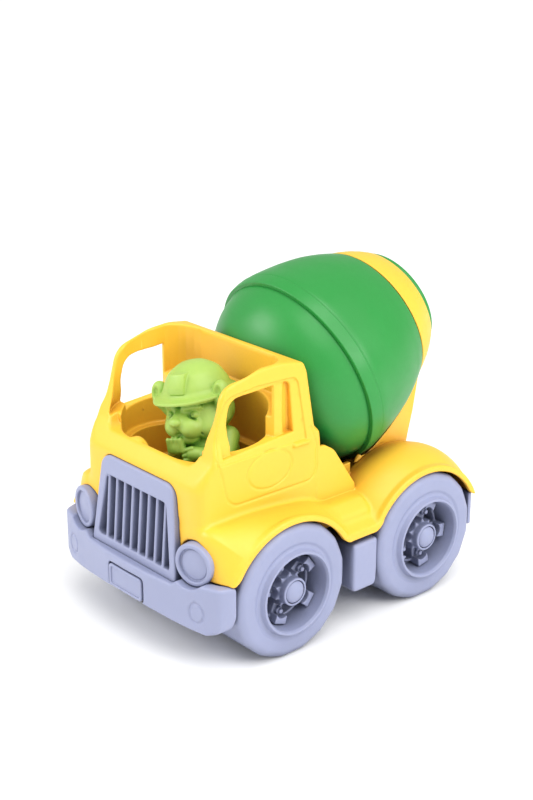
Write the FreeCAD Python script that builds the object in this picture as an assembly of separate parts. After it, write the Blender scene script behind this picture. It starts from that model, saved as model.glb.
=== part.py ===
import FreeCAD, Part

import math
import os

# A toy cement mixer: an open cab with a loose driver, and a drum that turns in a tilted ring
# behind it. Millimetres. The ground is z = 0, the truck faces -Y and its left side is +X.
# The origin is under the middle of the truck's box.

V = FreeCAD.Vector
X_AXIS = V(1, 0, 0)
Y_AXIS = V(0, 1, 0)
Z_AXIS = V(0, 0, 1)
ORIGIN = V(0, 0, 0)

# Driving dimensions
LENGTH = 196.2              # number plate to drum mouth
WHEEL_R = 35.0
WHEELBASE = 94.0
FRONT_AXLE_Y = -44.0
REAR_AXLE_Y = FRONT_AXLE_Y + WHEELBASE
RIM_X = 70.0                # outer plane of the rims, half the overall width
TYRE_WIDTH = 43.0
TYRE_FACETS = 16
SPOKES = 5
FRONT_SPOKE_TURN = 34.5     # degrees from +Y towards +Z
REAR_SPOKE_TURN = -8.0
AXLE_R = 2.0
RUN_FIT = 0.06              # radial clearance of what turns on a pin
WALL = 2.5                  # moulded wall thickness

FENDER_X = 66.8             # plane of the wheel arch lips
ARCH_R = 39.6
ARCH_Z = 31.4
SILL_Z = 49.4               # lower edge of the body between the wheels

CAB_BELT_X = 48.4           # half width at the belt line
CAB_ROOF_X = 44.4           # half width at the roof rails
DECK_Z = 60.0               # top of the deck under the drum
DECK_X = 37.2               # half width at the fenders' inner walls
BODY_LOW_Z = 47.5           # underside of the body's inner walls, just above the chassis

DRUM_TILT = 19.9            # degrees, rising to the rear
DRUM_CENTRE = V(0, 16.8, 117.2)
DRUM_R = 54.9               # rear shell's front rim
NECK_R = 27.2
RING_FRONT = (54.0, 41.8)   # distance along the drum axis, radius
RING_REAR = (71.6, 32.7)
MOUTH_R = 22.4
DRUM_GAP = 0.9              # drum to cradle

CHASSIS_X = 22.5
CHASSIS_Z = 22.6            # underside of the chassis tray
CHASSIS_TOP_Z = 47.0
HOUSE_X = 25.5              # inner side of the wheel houses
HOUSE_R = WHEEL_R + 2.0     # wheel house close round the tyre, about the axle
HOUSE_TOP_R = 47.2          # top of the wheel house under the fender, about the arch
PLATE_Y = -LENGTH / 2
BUMPER_Y = PLATE_Y + 0.3


# Small makers

def face(points):
    return Part.Face(Part.makePolygon(points + [points[0]]))


def prism_yz(outline, x0, x1):
    """Outline of (y, z) points, extruded from x0 to x1."""
    return face([V(x0, y, z) for y, z in outline]).extrude(V(x1 - x0, 0, 0))


def prism_xz(outline, y0, y1):
    """Outline of (x, z) points, extruded from y0 to y1."""
    return face([V(x, y0, z) for x, z in outline]).extrude(V(0, y1 - y0, 0))


def prism_xy(outline, z0, z1):
    """Outline of (x, y) points, extruded from z0 to z1."""
    return face([V(x, y, z0) for x, y in outline]).extrude(V(0, 0, z1 - z0))


def both_sides(half):
    """The outline of (x, y) or (x, z) points on the +X side, with its mirror image."""
    return half + [(-x, other) for x, other in reversed(half)]


def box(x0, x1, y0, y1, z0, z1, round_r=0.0):
    solid = Part.makeBox(x1 - x0, y1 - y0, z1 - z0, V(x0, y0, z0))
    if round_r:
        solid = solid.makeFillet(round_r, solid.Edges)
    return solid


def rod(radius, start, end):
    return Part.makeCylinder(radius, (end - start).Length, start, end - start)


def tube(outer, inner, start, end):
    return rod(outer, start, end).cut(rod(inner, start, end))


def mirror_x(shape):
    return shape.mirror(ORIGIN, X_AXIS)


def turned(profile, centre, axis, start=0.0, sweep=360.0):
    """Solid of revolution of (distance along axis, radius) points about an axis through centre."""
    side = Z_AXIS if abs(axis.dot(Z_AXIS)) < 0.9 else Y_AXIS
    across = (side - axis * side.dot(axis)).normalize()
    points = [centre + axis * along + across * radius for along, radius in profile]
    solid = face(points).revolve(centre, axis, sweep)
    if start:
        solid.rotate(centre, axis, start)
    return solid


def arc_points(start, middle, end, count):
    """Points along the arc through three (u, v) points, both ends included."""
    arc = Part.Arc(*[V(u, v, 0) for u, v in (start, middle, end)])
    return [(p.x, p.y) for p in arc.toShape().discretize(count)]


def join(first, *others):
    return first.fuse(list(others)).removeSplitter()


def export(name, shape):
    solids = shape.Solids
    one = solids[0] if len(solids) == 1 else Part.makeCompound(solids)
    one.exportStep("parts/%s.step" % name)
    bounds = one.BoundBox
    print("%-22s solids %d valid %s  x %.1f %.1f  y %.1f %.1f  z %.2f %.1f" % (
        name, len(solids), one.isValid(), bounds.XMin, bounds.XMax, bounds.YMin, bounds.YMax,
        bounds.ZMin, bounds.ZMax))


# Drum, cradle and spindle, all about the drum's tilted axis

TILT = math.radians(DRUM_TILT)
DRUM_AXIS = V(0, math.cos(TILT), math.sin(TILT))
DOME_NOSE = -30.0           # front of the dome along the axis
NOSE_FLAT_R = 20.0
NECK_START = 54.6
NECK_END = 73.0
SPINDLE_R = 4.0
SPINDLE_DEPTH = 8.0
SHELL = 2.4                 # drum wall
LAP = 5.0                   # how far the front shell's spigot goes into the rear shell


def drum_point(along, radius=0.0):
    up = V(0, -math.sin(TILT), math.cos(TILT))
    return DRUM_CENTRE + DRUM_AXIS * along + up * radius


def dome_curve(shrink=0.0):
    """Front dome from its flat nose to the seam."""
    corner = arc_points((DOME_NOSE + shrink, NOSE_FLAT_R), (-27.0 + 0.7 * shrink, 33.5),
                        (-20.0, 42.4 - shrink), 6)
    return corner + arc_points((-20.0, 42.4 - shrink), (-10.5, 49.0 - shrink),
                               (0.0, 53.0 - shrink), 6)[1:]


def barrel_curve(shrink=0.0):
    """Rear shell from its front rim to the shoulder beside the ring."""
    front = arc_points((0.0, DRUM_R - shrink), (5.0, 55.7 - shrink), (12.0, 54.9 - shrink), 5)
    back = arc_points((12.0, 54.9 - shrink), (36.0, 49.6 - shrink), (53.6, 41.9 - shrink), 8)
    return front + back[1:]


def drum_front_shell():
    hub_r = SPINDLE_R + 3.0
    outer = turned([(DOME_NOSE, 0)] + dome_curve() + [(0, 52.2), (LAP, 52.2), (LAP, 0)],
                   DRUM_CENTRE, DRUM_AXIS)
    hollow = turned([(DOME_NOSE + SHELL, 0)] + dome_curve(SHELL)[:-1]
                    + [(0, 50.2), (LAP, 50.2), (LAP, 0)], DRUM_CENTRE, DRUM_AXIS)
    boss = rod(hub_r, drum_point(DOME_NOSE), drum_point(DOME_NOSE + SPINDLE_DEPTH + 3))
    bore = rod(SPINDLE_R + RUN_FIT, drum_point(DOME_NOSE - 1), drum_point(DOME_NOSE + SPINDLE_DEPTH))
    return join(outer.cut(hollow), boss).cut(bore)


def drum_rear_shell():
    outline = barrel_curve() + [(NECK_START, 38.0), (NECK_START, NECK_R), (NECK_END, NECK_R),
                                (NECK_END, NECK_R - SHELL), (NECK_START - SHELL, NECK_R - SHELL),
                                (NECK_START - SHELL, 36.0)]
    inside = list(reversed(barrel_curve(SHELL)))[1:-3]
    return turned(outline + inside + [(LAP, 52.4), (LAP, 52.2), (0, 52.2)],
                  DRUM_CENTRE, DRUM_AXIS)


def drum_mouth_flange():
    """Rolled lip that snaps into the neck behind the ring and keeps the drum in it."""
    lip_front, lip_back, lip_r = 72.0, 76.2, 30.2
    outline = [(62.0, MOUTH_R), (62.0, NECK_R - SHELL), (NECK_END, NECK_R - SHELL),
               (NECK_END, NECK_R + 0.1), (lip_front + 0.6, lip_r - 1.2), (lip_front + 1.6, lip_r),
               (lip_back - 1.6, lip_r), (lip_back - 0.5, lip_r - 0.6), (lip_back, lip_r - 1.8),
               (lip_back, MOUTH_R + 1.2), (lip_back - 1.2, MOUTH_R)]
    return turned(outline, DRUM_CENTRE, DRUM_AXIS)


def drum_room():
    """The space the turning drum needs, with its gap, used to clear the cradle."""
    outline = ([(DOME_NOSE - 1.5, 0), (DOME_NOSE - 1.5, NOSE_FLAT_R)]
               + [(along - 0.8, radius + DRUM_GAP) for along, radius in dome_curve()[1:-1]]
               + [(along, radius + DRUM_GAP) for along, radius in barrel_curve()[:-1]]
               + [(RING_FRONT[0], RING_FRONT[1] + 0.3), (RING_FRONT[0] + 0.9, RING_FRONT[1] - 3),
                  (RING_FRONT[0] + 0.9, NECK_R + 0.5), (RING_REAR[0], NECK_R + 0.5),
                  (RING_REAR[0], 34.0), (82, 34.0), (82, 0)])
    return turned(outline, DRUM_CENTRE, DRUM_AXIS)


def ring():
    """Support ring round the drum's neck: a skin, a rear wall and a bearing tube."""
    skin = 2.4
    (front, front_r), (rear, rear_r) = RING_FRONT, RING_REAR
    belly = arc_points((front, front_r), ((front + rear) / 2, (front_r + rear_r) / 2 + 0.9),
                       (rear, rear_r), 6)
    bore_r = NECK_R + 0.5
    outline = belly + [(rear, bore_r), (front + 1.6, bore_r), (front + 1.6, bore_r + skin),
                       (rear - skin, bore_r + skin), (rear - skin, rear_r - skin + 0.4),
                       (front + 1.6, front_r - skin - 0.6)]
    return turned(outline, DRUM_CENTRE, DRUM_AXIS)


PEDESTAL_SIDE = [(22.4, DECK_Z), (22.4, 92.0), (50.0, 120.0), (72.0, 124.0), (83.0, 121.0),
                 (79.2, 108.1), (75.9, 90.6), (71.3, 73.7), (69.5, DECK_Z)]
PEDESTAL_PLAN = [(DECK_X, 22.4), (34.6, 50.0), (31.5, 72.0), (31.0, 90.0)]


def drum_cradle():
    """Ring and pedestal, one moulding, standing on the deck."""
    plan = both_sides(PEDESTAL_PLAN)
    block = prism_yz(PEDESTAL_SIDE, -DECK_X, DECK_X).common(prism_xy(plan, DECK_Z, 130))
    inner_side = [(21.0, DECK_Z - 1), (21.0, 93.0), (50.0, 121.0), (72.0, 126.0), (79.0, 121.0),
                  (76.6, 108.1), (73.3, 90.6), (68.6, 73.7), (66.9, DECK_Z - 1)]
    inner_plan = both_sides([(x - WALL, y) for x, y in [(DECK_X, 20.0)] + PEDESTAL_PLAN])
    hollow = prism_yz(inner_side, -DECK_X, DECK_X).common(prism_xy(inner_plan, DECK_Z - 1, 130))
    walls = block.cut(hollow)
    outside_ring = turned([(RING_FRONT[0], 0), RING_FRONT, RING_REAR, (RING_REAR[0], 0)],
                          DRUM_CENTRE, DRUM_AXIS)
    solid = walls.cut(outside_ring).fuse(ring()).cut(drum_room())
    for side in (-1, 1):
        solid = solid.cut(wheel_house_block(side, HOUSE_TOP_R + 1.0, 0.2))
    return sorted(solid.Solids, key=lambda piece: piece.Volume)[-1]


def drum_spindle():
    """Front pin: pressed through the cab's back wall, with a collar that holds the drum off it."""
    pin = rod(SPINDLE_R, drum_point(-40.0), drum_point(DOME_NOSE + SPINDLE_DEPTH - 1))
    return join(pin, rod(7.0, drum_point(DOME_NOSE - 1.5), drum_point(DOME_NOSE - 0.6)))


# Wheels. Each is made at the origin with its outer side towards +X, then placed.

TREAD_R = WHEEL_R + 0.35     # at the rounded corners between the tread's flats
TYRE_PROFILE = [(-TYRE_WIDTH, 32.0), (-TYRE_WIDTH, 33.6), (-40.6, 34.9), (-37.0, TREAD_R),
                (-9.0, TREAD_R), (-5.2, 33.6), (-3.4, 31.0), (-3.0, 28.0), (-3.4, 26.0),
                (-1.6, 22.6), (-0.6, 21.4), (0.0, 20.9), (0.0, 20.2), (-1.6, 19.9),
                (-14.0, 18.6), (-14.0, 17.0), (-16.0, 17.0), (-16.0, 22.0), (-8.0, 24.0),
                (-6.6, 28.0), (-7.4, 30.8), (-10.4, 32.0)]
SEAT_X = -14.0              # shoulder in the tyre that the hub rests on
HUB_FACE_X = -7.0
BOSS_FACE_X = -2.4
BOSS_BACK_X = -41.0
BOSS_R = 7.3
CAP_R = 5.9
STUD_R = 12.2


def tyre():
    """Hollow tyre, open behind, whose tread is slightly flattened on equal flats."""
    body = turned(TYRE_PROFILE, ORIGIN, X_AXIS)
    half_step = math.pi / TYRE_FACETS
    corner_r = WHEEL_R / math.cos(half_step)
    turns = [half_step * (2 * i + 1) for i in range(TYRE_FACETS)]
    outline = [V(-TYRE_WIDTH - 1, corner_r * math.cos(a), corner_r * math.sin(a)) for a in turns]
    return body.common(face(outline).extrude(V(TYRE_WIDTH + 2, 0, 0)))


def hub():
    """Five spokes, each with a stud, on a boss that runs on the axle."""
    solid = tube(19.9, 15.6, V(-19.0, 0, 0), V(SEAT_X - 2.0, 0, 0))
    solid = solid.fuse(tube(16.9, 15.6, V(SEAT_X - 2.0, 0, 0), V(-12.0, 0, 0)))
    solid = solid.fuse(rod(BOSS_R, V(BOSS_BACK_X, 0, 0), V(BOSS_FACE_X, 0, 0)))
    for i in range(SPOKES):
        turn = 360.0 / SPOKES * i
        arm = prism_xz([(-18.0, 4.0), (-18.0, 16.3), (-13.8, 16.3), (-13.8, 17.7), (HUB_FACE_X, 18.2),
                        (HUB_FACE_X, 4.0)], -3.4, 3.4)
        stud = rod(1.9, V(-11.0, 0, STUD_R), V(-7.4, 0, STUD_R))
        stud = stud.fuse(rod(1.2, V(-7.4, 0, STUD_R), V(-5.8, 0, STUD_R)))
        pocket = rod(2.75, V(-10.0, 0, STUD_R), V(-6.0, 0, STUD_R))
        spoke = arm.cut(pocket).fuse(stud)
        spoke.rotate(ORIGIN, X_AXIS, turn - 90.0)
        solid = solid.fuse(spoke)
    bore = rod(AXLE_R + RUN_FIT, V(BOSS_BACK_X - 1, 0, 0), V(-5.5, 0, 0))
    cap_seat = rod(CAP_R + 0.3, V(-5.5, 0, 0), V(0, 0, 0))
    return solid.cut(bore).cut(cap_seat).removeSplitter()


def axle_cap():
    """Domed cap pressed on the axle's end; it keeps the wheel on."""
    dome = turned([(-5.2, 0), (-5.2, CAP_R), (-3.2, CAP_R), (-2.2, CAP_R - 0.9), (-1.3, 3.2),
                   (-0.8, 0)], ORIGIN, X_AXIS)
    return dome.cut(rod(AXLE_R, V(-6, 0, 0), V(-2.6, 0, 0)))


def placed_wheel(shape, turn, axle_y, side):
    """shape is made for the +X side; side is 1 or -1."""
    one = shape.copy()
    one.rotate(ORIGIN, X_AXIS, turn)
    one.translate(V(RIM_X, axle_y, WHEEL_R))
    return one if side > 0 else mirror_x(one)


def axle(axle_y):
    end = RIM_X - 2.6
    return rod(AXLE_R, V(-end, axle_y, WHEEL_R), V(end, axle_y, WHEEL_R))


# Chassis, bumpers, grille and lamps

AXLE_YS = (FRONT_AXLE_Y, REAR_AXLE_Y)
SCREW_PLACES = [(x, y) for y in (-68.0, 3.0, 66.0) for x in (-14.0, 14.0)]
SCREW_R = 1.5
CHASSIS_FRONT_Y = -88.0
CHASSIS_REAR_Y = 88.0
SADDLE_X = 28.5


def chassis():
    """Tray between the wheels, with a tube across it for each axle."""
    outer = box(-CHASSIS_X, CHASSIS_X, CHASSIS_FRONT_Y, CHASSIS_REAR_Y, CHASSIS_Z,
                CHASSIS_TOP_Z)
    edges = [e for e in outer.Edges if e.BoundBox.ZMax < CHASSIS_Z + 1]
    outer = outer.makeFillet(3.0, edges)
    tray = outer.cut(box(-CHASSIS_X + WALL, CHASSIS_X - WALL, CHASSIS_FRONT_Y + WALL,
                         CHASSIS_REAR_Y - WALL, CHASSIS_Z + WALL, 50.0))
    for y in AXLE_YS:
        saddle = rod(6.0, V(-SADDLE_X, y, WHEEL_R), V(SADDLE_X, y, WHEEL_R))
        rib = box(-CHASSIS_X + 1, CHASSIS_X - 1, y - 1.5, y + 1.5, CHASSIS_Z + 1, WHEEL_R)
        tray = tray.fuse([saddle, rib])
    for y in AXLE_YS:
        tray = tray.cut(rod(AXLE_R, V(-50, y, WHEEL_R), V(50, y, WHEEL_R)))
    for x, y in SCREW_PLACES:
        tray = tray.cut(rod(SCREW_R + 0.2, V(x, y, CHASSIS_Z - 1), V(x, y, CHASSIS_Z + 5)))
        tray = tray.cut(rod(3.2, V(x, y, CHASSIS_Z - 1), V(x, y, CHASSIS_Z + 1.3)))
    return tray.cut(grille_envelope()).removeSplitter()


def chassis_screws():
    screws = []
    for x, y in SCREW_PLACES:
        head = rod(2.9, V(x, y, CHASSIS_Z - 0.1), V(x, y, CHASSIS_Z + 1.3))
        slot = box(x - 2.4, x + 2.4, y - 0.3, y + 0.3, CHASSIS_Z - 0.2, CHASSIS_Z + 0.5)
        cross = box(x - 0.3, x + 0.3, y - 2.4, y + 2.4, CHASSIS_Z - 0.2, CHASSIS_Z + 0.5)
        shank = rod(SCREW_R, V(x, y, CHASSIS_Z + 1.3), V(x, y, CHASSIS_Z + 12))
        screws.append(head.fuse(shank).cut(slot).cut(cross))
    return Part.makeCompound(screws)


BUMPER_FRONT = arc_points((0, BUMPER_Y), (34.0, BUMPER_Y + 1.9), (56.0, -91.2), 7)
BUMPER_TOP = 41.3            # between the headlights
BUMPER_END_TOP = SILL_Z - 0.1


def front_bumper():
    """Wrap-round bumper, notched for the headlights and rounded at its lower corners."""
    plan_half = BUMPER_FRONT + arc_points((56.0, -91.2), (63.6, -87.0), (66.6, -80.8), 5)[1:]
    plan_half = plan_half + [(62.5, -80.4), (58.0, -84.2), (50.0, -87.0), (40.0, -88.0), (0, -88.0)]
    left = prism_xy(plan_half, 20.0, 52.0)
    plan = left.fuse(mirror_x(left))
    lower = arc_points((56.0, 23.2), (63.4, 26.4), (66.8, 34.0), 6)
    front_half = [(0, 26.0), (30.0, 24.6)] + lower + [(66.8, BUMPER_END_TOP),
                                                      (36.0, BUMPER_END_TOP), (36.0, BUMPER_TOP),
                                                      (0, BUMPER_TOP)]
    right = prism_xz(front_half, -100, -78)
    solid = plan.common(right.fuse(mirror_x(right)))
    for side in (-1, 1):
        solid = solid.cut(rod(HEADLIGHT_R + 0.1, V(side * HEADLIGHT_X, -100, HEADLIGHT_Z),
                              V(side * HEADLIGHT_X, -70, HEADLIGHT_Z)))
        dimple = tube(5.4, 4.6, V(side * 52.2, -98, 34.1), V(side * 52.2, -91.9, 34.1))
        solid = solid.cut(dimple)
    return solid.cut(plate_block()).cut(grille_envelope()).removeSplitter()


def plate_block():
    plate = box(-13.4, 13.4, PLATE_Y, PLATE_Y + 2.6, 26.6, 38.8)
    return plate.makeFillet(2.0, [e for e in plate.Edges if abs(e.BoundBox.YLength) > 2])


def number_plate():
    """Blank plate with a raised border, let into the bumper's face."""
    return plate_block().cut(box(-12.2, 12.2, PLATE_Y - 1, PLATE_Y + 0.8, 27.8, 37.6))


HEADLIGHT_X = 44.6
HEADLIGHT_Z = 56.4
HEADLIGHT_R = 10.6
HEADLIGHT_Y = -90.4
HEADLIGHT_DEPTH = 9.2


def headlight(side):
    """Round lamp with a rolled rim and a recessed flat lens, all one moulding."""
    rim, deep = HEADLIGHT_R, HEADLIGHT_DEPTH
    outline = [(0, 0), (0, rim), (deep - 1.8, rim), (deep - 0.6, rim - 0.4), (deep, rim - 1.3),
               (deep - 0.2, rim - 2.0), (deep - 1.2, rim - 2.7), (deep - 1.2, 0)]
    return turned(outline, V(side * HEADLIGHT_X, HEADLIGHT_Y + deep, HEADLIGHT_Z), -Y_AXIS)


def headlight_envelope(side):
    back = HEADLIGHT_Y + HEADLIGHT_DEPTH
    return rod(HEADLIGHT_R, V(side * HEADLIGHT_X, -100, HEADLIGHT_Z),
               V(side * HEADLIGHT_X, back, HEADLIGHT_Z))


GRILLE_TOP = (29.0, 91.6)     # half width, height
GRILLE_BOTTOM = (34.6, 41.5)
GRILLE_Y = -92.4              # front face at the bottom of the opening
GRILLE_LEAN = 5.0             # degrees back
GRILLE_DEPTH = 7.0
GRILLE_SLOTS = 9


def grille_envelope():
    """Leaning trapezium block that the grille fills."""
    (top_w, top_z), (low_w, low_z) = GRILLE_TOP, GRILLE_BOTTOM
    corner = arc_points((top_w + 0.9, top_z - 7.0), (top_w - 1.6, top_z - 1.6),
                        (top_w - 7.0, top_z), 5)
    return leaned(prism_xz(both_sides([(low_w, low_z)] + corner), 0.0, GRILLE_DEPTH))


def leaned(shape):
    """Place a piece drawn upright at y = 0 in the grille's leaning plane."""
    shape.rotate(V(0, 0, GRILLE_BOTTOM[1]), X_AXIS, -GRILLE_LEAN)
    shape.translate(V(0, GRILLE_Y - 0.6, 0))
    return shape


def grille():
    """Trapezium frame with upright bars in front of a closed back."""
    frame = grille_envelope()
    slot_low, slot_high = 48.2, 81.6
    half_low, half_high = 29.6, 24.4
    half_bar = 1.25
    for i in range(GRILLE_SLOTS):
        left = -1.0 + 2.0 * i / GRILLE_SLOTS
        right = -1.0 + 2.0 * (i + 1) / GRILLE_SLOTS
        left_bar = half_bar if i > 0 else 0.0
        right_bar = half_bar if i < GRILLE_SLOTS - 1 else 0.0
        slot = [(half_low * left + left_bar, slot_low), (half_low * right - right_bar, slot_low),
                (half_high * right - right_bar, slot_high), (half_high * left + left_bar, slot_high)]
        frame = frame.cut(leaned(prism_xz(slot, -1.0, GRILLE_DEPTH - 1.6)))
    return frame


def side_step(side):
    """Block beside the running board, on a tongue from the chassis."""
    block = box(40.0, 64.6, -3.0, 13.4, 19.4, 46.4, 2.2)
    block = block.fuse(box(CHASSIS_X, 50.0, 1.0, 9.4, 26.0, 42.0))
    return block if side > 0 else mirror_x(block)


def rear_bumper():
    """Bar across the tail, on a block from the chassis."""
    back = arc_points((64.6, 88.4), (32.3, 93.0), (0.0, 94.5), 9)
    bar = prism_xy(both_sides([(64.0, 86.2)] + back), 30.0, 50.6)
    bar = bar.cut(box(-DECK_X - 0.3, DECK_X + 0.3, 80.0, TAIL_Y, 20.0, 60.0))
    seat = box(-CHASSIS_X, CHASSIS_X, CHASSIS_REAR_Y, TAIL_Y + 1, 30.0, 46.0)
    return bar.fuse(seat).removeSplitter()


# Body shell: cab, bonnet, fenders, running boards and deck, one moulding

CAB_BACK_Y = -8.2
TAIL_Y = 90.0               # outer face of the body's tail panel
UPPER_SIDE = [(-77.4, 96.0), (-77.4, 107.0), (-74.3, 136.5), (-72.6, 139.6), (-69.0, 141.2),
              (-46.4, 145.2), (-33.0, 146.4), (-24.6, 145.2), (-21.6, 142.4), (-18.6, 118.0),
              (-16.6, 96.0)]
LOWER_SIDE = [(-86.2, SILL_Z), (-87.6, 84.0), (-86.8, 90.0), (-84.0, 97.0), (-80.4, 101.6),
              (-76.0, 106.4), (-14.6, 109.6), (-9.9, 105.6), (CAB_BACK_Y, 96.8),
              (CAB_BACK_Y, SILL_Z)]
LOWER_PLAN = [(33.0, -90.0), (42.0, -86.6), (47.0, -80.0), (CAB_BELT_X, -70.0),
              (CAB_BELT_X, CAB_BACK_Y + 1)]
LOWER_FRONT = [(46.0, 40.0), (47.0, 75.0), (CAB_BELT_X, 97.0), (CAB_BELT_X, 105.0), (46.0, 110.0)]
UPPER_FRONT = [(47.2, 90.0), (47.2, 109.0), (CAB_ROOF_X, 138.0), (CAB_ROOF_X - 0.6, 150.0)]
QUARTER_SIDE = [(-10.0, 50.0), (-10.0, 96.6), (-7.2, 96.4), (-0.8, 93.2), (5.3, 84.8),
                (15.4, 70.0), (16.4, 58.5), (16.4, 50.0)]
WINDOW = [(-69.4, 109.0), (-64.9, 127.2), (-62.0, 130.4), (-58.0, 131.4), (-30.0, 132.2),
          (-27.0, 130.6), (-26.2, 127.0), (-26.2, 112.6)]
CORNER_R = 17.0             # inside rear corners of the cab
WELL_Y = -52.0
WELL_END_R = 27.0           # round ends of the well
WELL_END_X = 15.5           # their centres
WELL_STEP_Z = 93.0          # ledge inside the well
WELL_STEP = 4.0
WELL_FLOOR = 76.0


def cab_outer():
    lower = prism_yz(LOWER_SIDE, -60, 60).common(prism_xz(both_sides(LOWER_FRONT), -100, 10))
    lower = lower.common(prism_xy(both_sides(LOWER_PLAN), 30, 120))
    upper = prism_yz(UPPER_SIDE, -60, 60).common(prism_xz(both_sides(UPPER_FRONT), -100, 10))
    return lower.fuse(upper)


def cab_room():
    """Inside of the cab above its slanting ledge, open above and between the front pillars."""
    side = [(-120.0, 160.0), (-120.0, 101.8), (-80.0, 101.8), (-77.0, 106.2), (-23.4, 122.8),
            (-25.2, 147.0), (-25.2, 160.0)]
    front = [(CAB_ROOF_X - 0.2, 90.0), (CAB_ROOF_X - 0.2, 109.0), (CAB_ROOF_X - WALL, 138.0),
             (CAB_ROOF_X - WALL, 160.0)]
    inner_x, back = CAB_ROOF_X - 0.2, -23.4
    corner = arc_points((inner_x, back - CORNER_R), (inner_x - 0.293 * CORNER_R,
                        back - 0.293 * CORNER_R), (inner_x - CORNER_R, back), 6)
    plan = both_sides([(inner_x, -120.0)] + corner)
    return prism_yz(side, -60, 60).common(prism_xz(both_sides(front), -130, 10)).common(
        prism_xy(plan, 80, 170))


def stadium(end_r, z0, z1):
    """Slot-shaped solid across the cab, round at both ends."""
    ends = [rod(end_r, V(x, WELL_Y, z0), V(x, WELL_Y, z1)) for x in (-WELL_END_X, WELL_END_X)]
    middle = box(-WELL_END_X, WELL_END_X, WELL_Y - end_r, WELL_Y + end_r, z0, z1)
    return middle.fuse(ends)


def under_cab():
    """Space under the bonnet and round the outside of the well, open below."""
    side = [(-83.6, SILL_Z - 1), (-84.6, 83.0), (-83.0, 88.6), (-79.0, 93.6), (-11.4, 93.6),
            (-11.4, SILL_Z - 1)]
    plan = [(x - WALL, y + WALL) for x, y in LOWER_PLAN[:-1]] + [(CAB_BELT_X - WALL, -11.0)]
    room = prism_yz(side, -60, 60).common(prism_xy(both_sides(plan), 30, 120))
    walls = both_sides([(x - WALL, z) for x, z in LOWER_FRONT])
    room = room.common(prism_xz(walls, -100, 10))
    tub = stadium(WELL_END_R - WELL_STEP + WALL, WELL_FLOOR - WALL, 100)
    return room.cut(tub.fuse(stadium(WELL_END_R + WALL, WELL_STEP_Z - WALL, 100)))


FRONT_CROWN = arc_points((DECK_X - WALL, 43.0), (52.0, 43.6), (62.0, 42.6), 6)
REAR_CROWN = arc_points((DECK_X - WALL, 47.6), (46.0, 49.2), (60.0, 45.3), 6)


def fender(axle_y, crown):
    """Arched skin over one left wheel, its crown (x, radius about the arch), with a rolled lip."""
    inner = [(x, r - 2.4) for x, r in reversed(crown)]
    outline = crown + [(FENDER_X, 40.9), (FENDER_X, ARCH_R), (64.2, ARCH_R)] + inner
    return turned(outline, V(0, axle_y, ARCH_Z), X_AXIS)


def running_board():
    """Step between the arches, with a rounded upper tread and a flange level with the lips."""
    tread = prism_xz([(36.0, 56.0), (36.0, 66.4), (54.0, 66.0), (59.6, 63.8), (61.6, 59.0),
                      (61.6, 55.0)], -9.0, 14.0)
    flange = prism_xz([(36.0, SILL_Z), (36.0, 57.0), (61.6, 57.0), (65.4, 55.0), (FENDER_X, 52.0),
                       (FENDER_X, SILL_Z)], -13.0, 17.0)
    hollow = prism_xz([(40.0, SILL_Z - 1), (40.0, 54.6), (60.0, 54.6), (64.4, 53.0),
                       (64.4, SILL_Z - 1)], -14.0, 18.0)
    return tread.fuse(flange).cut(hollow)


def front_corner():
    """The fender's nose in front of the arch, between the headlight and the lip."""
    side = [(-86.4, 50.2), (-86.8, 66.0), (-84.6, 72.2), (-79.0, 74.2), (-60.0, 74.9),
            (-44.0, 74.4), (-44.0, 50.2)]
    front = [(34.0, 45.0), (34.0, 75.2), (46.0, 75.2), (56.0, 74.6), (62.0, 73.8), (FENDER_X, 71.0),
             (FENDER_X, 45.0)]
    plan = [(34.0, -88.0), (46.0, -86.6), (56.0, -85.4), (63.0, -82.6), (FENDER_X, -78.0),
            (FENDER_X, -40.0), (34.0, -40.0)]
    block = prism_yz(side, 30, 70).common(prism_xz(front, -90, -40)).common(prism_xy(plan, 40, 90))
    return block.cut(rod(ARCH_R + 2.4, V(20, FRONT_AXLE_Y, ARCH_Z), V(64.2, FRONT_AXLE_Y, ARCH_Z)))


def wheel_room(axle_y):
    """Space for one left wheel: wide under the arch, close round the tyre further in."""
    arch = rod(ARCH_R, V(DECK_X - WALL, axle_y, ARCH_Z), V(80, axle_y, ARCH_Z))
    return arch.fuse(rod(HOUSE_R, V(HOUSE_X, axle_y, WHEEL_R), V(DECK_X, axle_y, WHEEL_R)))


def wheel_house_block(side, top_r, gap=0.0):
    """Outside of a rear wheel house: low where the drum hangs, top_r high under the fender."""
    low = rod(HOUSE_R + 3.0 + gap, V(HOUSE_X - WALL - gap, REAR_AXLE_Y, WHEEL_R),
              V(DECK_X, REAR_AXLE_Y, WHEEL_R))
    high = rod(top_r, V(DECK_X - WALL - gap, REAR_AXLE_Y, ARCH_Z),
               V(DECK_X + gap, REAR_AXLE_Y, ARCH_Z))
    block = low.fuse(high)
    return block if side > 0 else mirror_x(block)


def quarter_panel():
    """Side of the body behind the cab, falling to the running board."""
    panel = prism_yz(QUARTER_SIDE, 44.9, 47.4)
    wall = box(DECK_X - WALL, DECK_X, CAB_BACK_Y - 1, 22.2, BODY_LOW_Z, 76.2)
    return panel.fuse(wall)


def left_side():
    """Fenders, running board, wheel house and quarter panel of the left side."""
    keep = prism_yz([(-90, SILL_Z), (60, SILL_Z), (60, 51.5), (100, 51.5), (100, 100), (-90, 100)],
                    30, 80)
    arches = fender(FRONT_AXLE_Y, FRONT_CROWN)
    arches = arches.fuse([fender(REAR_AXLE_Y, REAR_CROWN), front_corner(), running_board()])
    house = wheel_house_block(1, HOUSE_TOP_R).common(box(0, 60, 0, TAIL_Y, BODY_LOW_Z, 90))
    side = arches.common(keep).fuse([house, quarter_panel()])
    return side.cut(wheel_room(FRONT_AXLE_Y)).cut(wheel_room(REAR_AXLE_Y))


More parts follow.
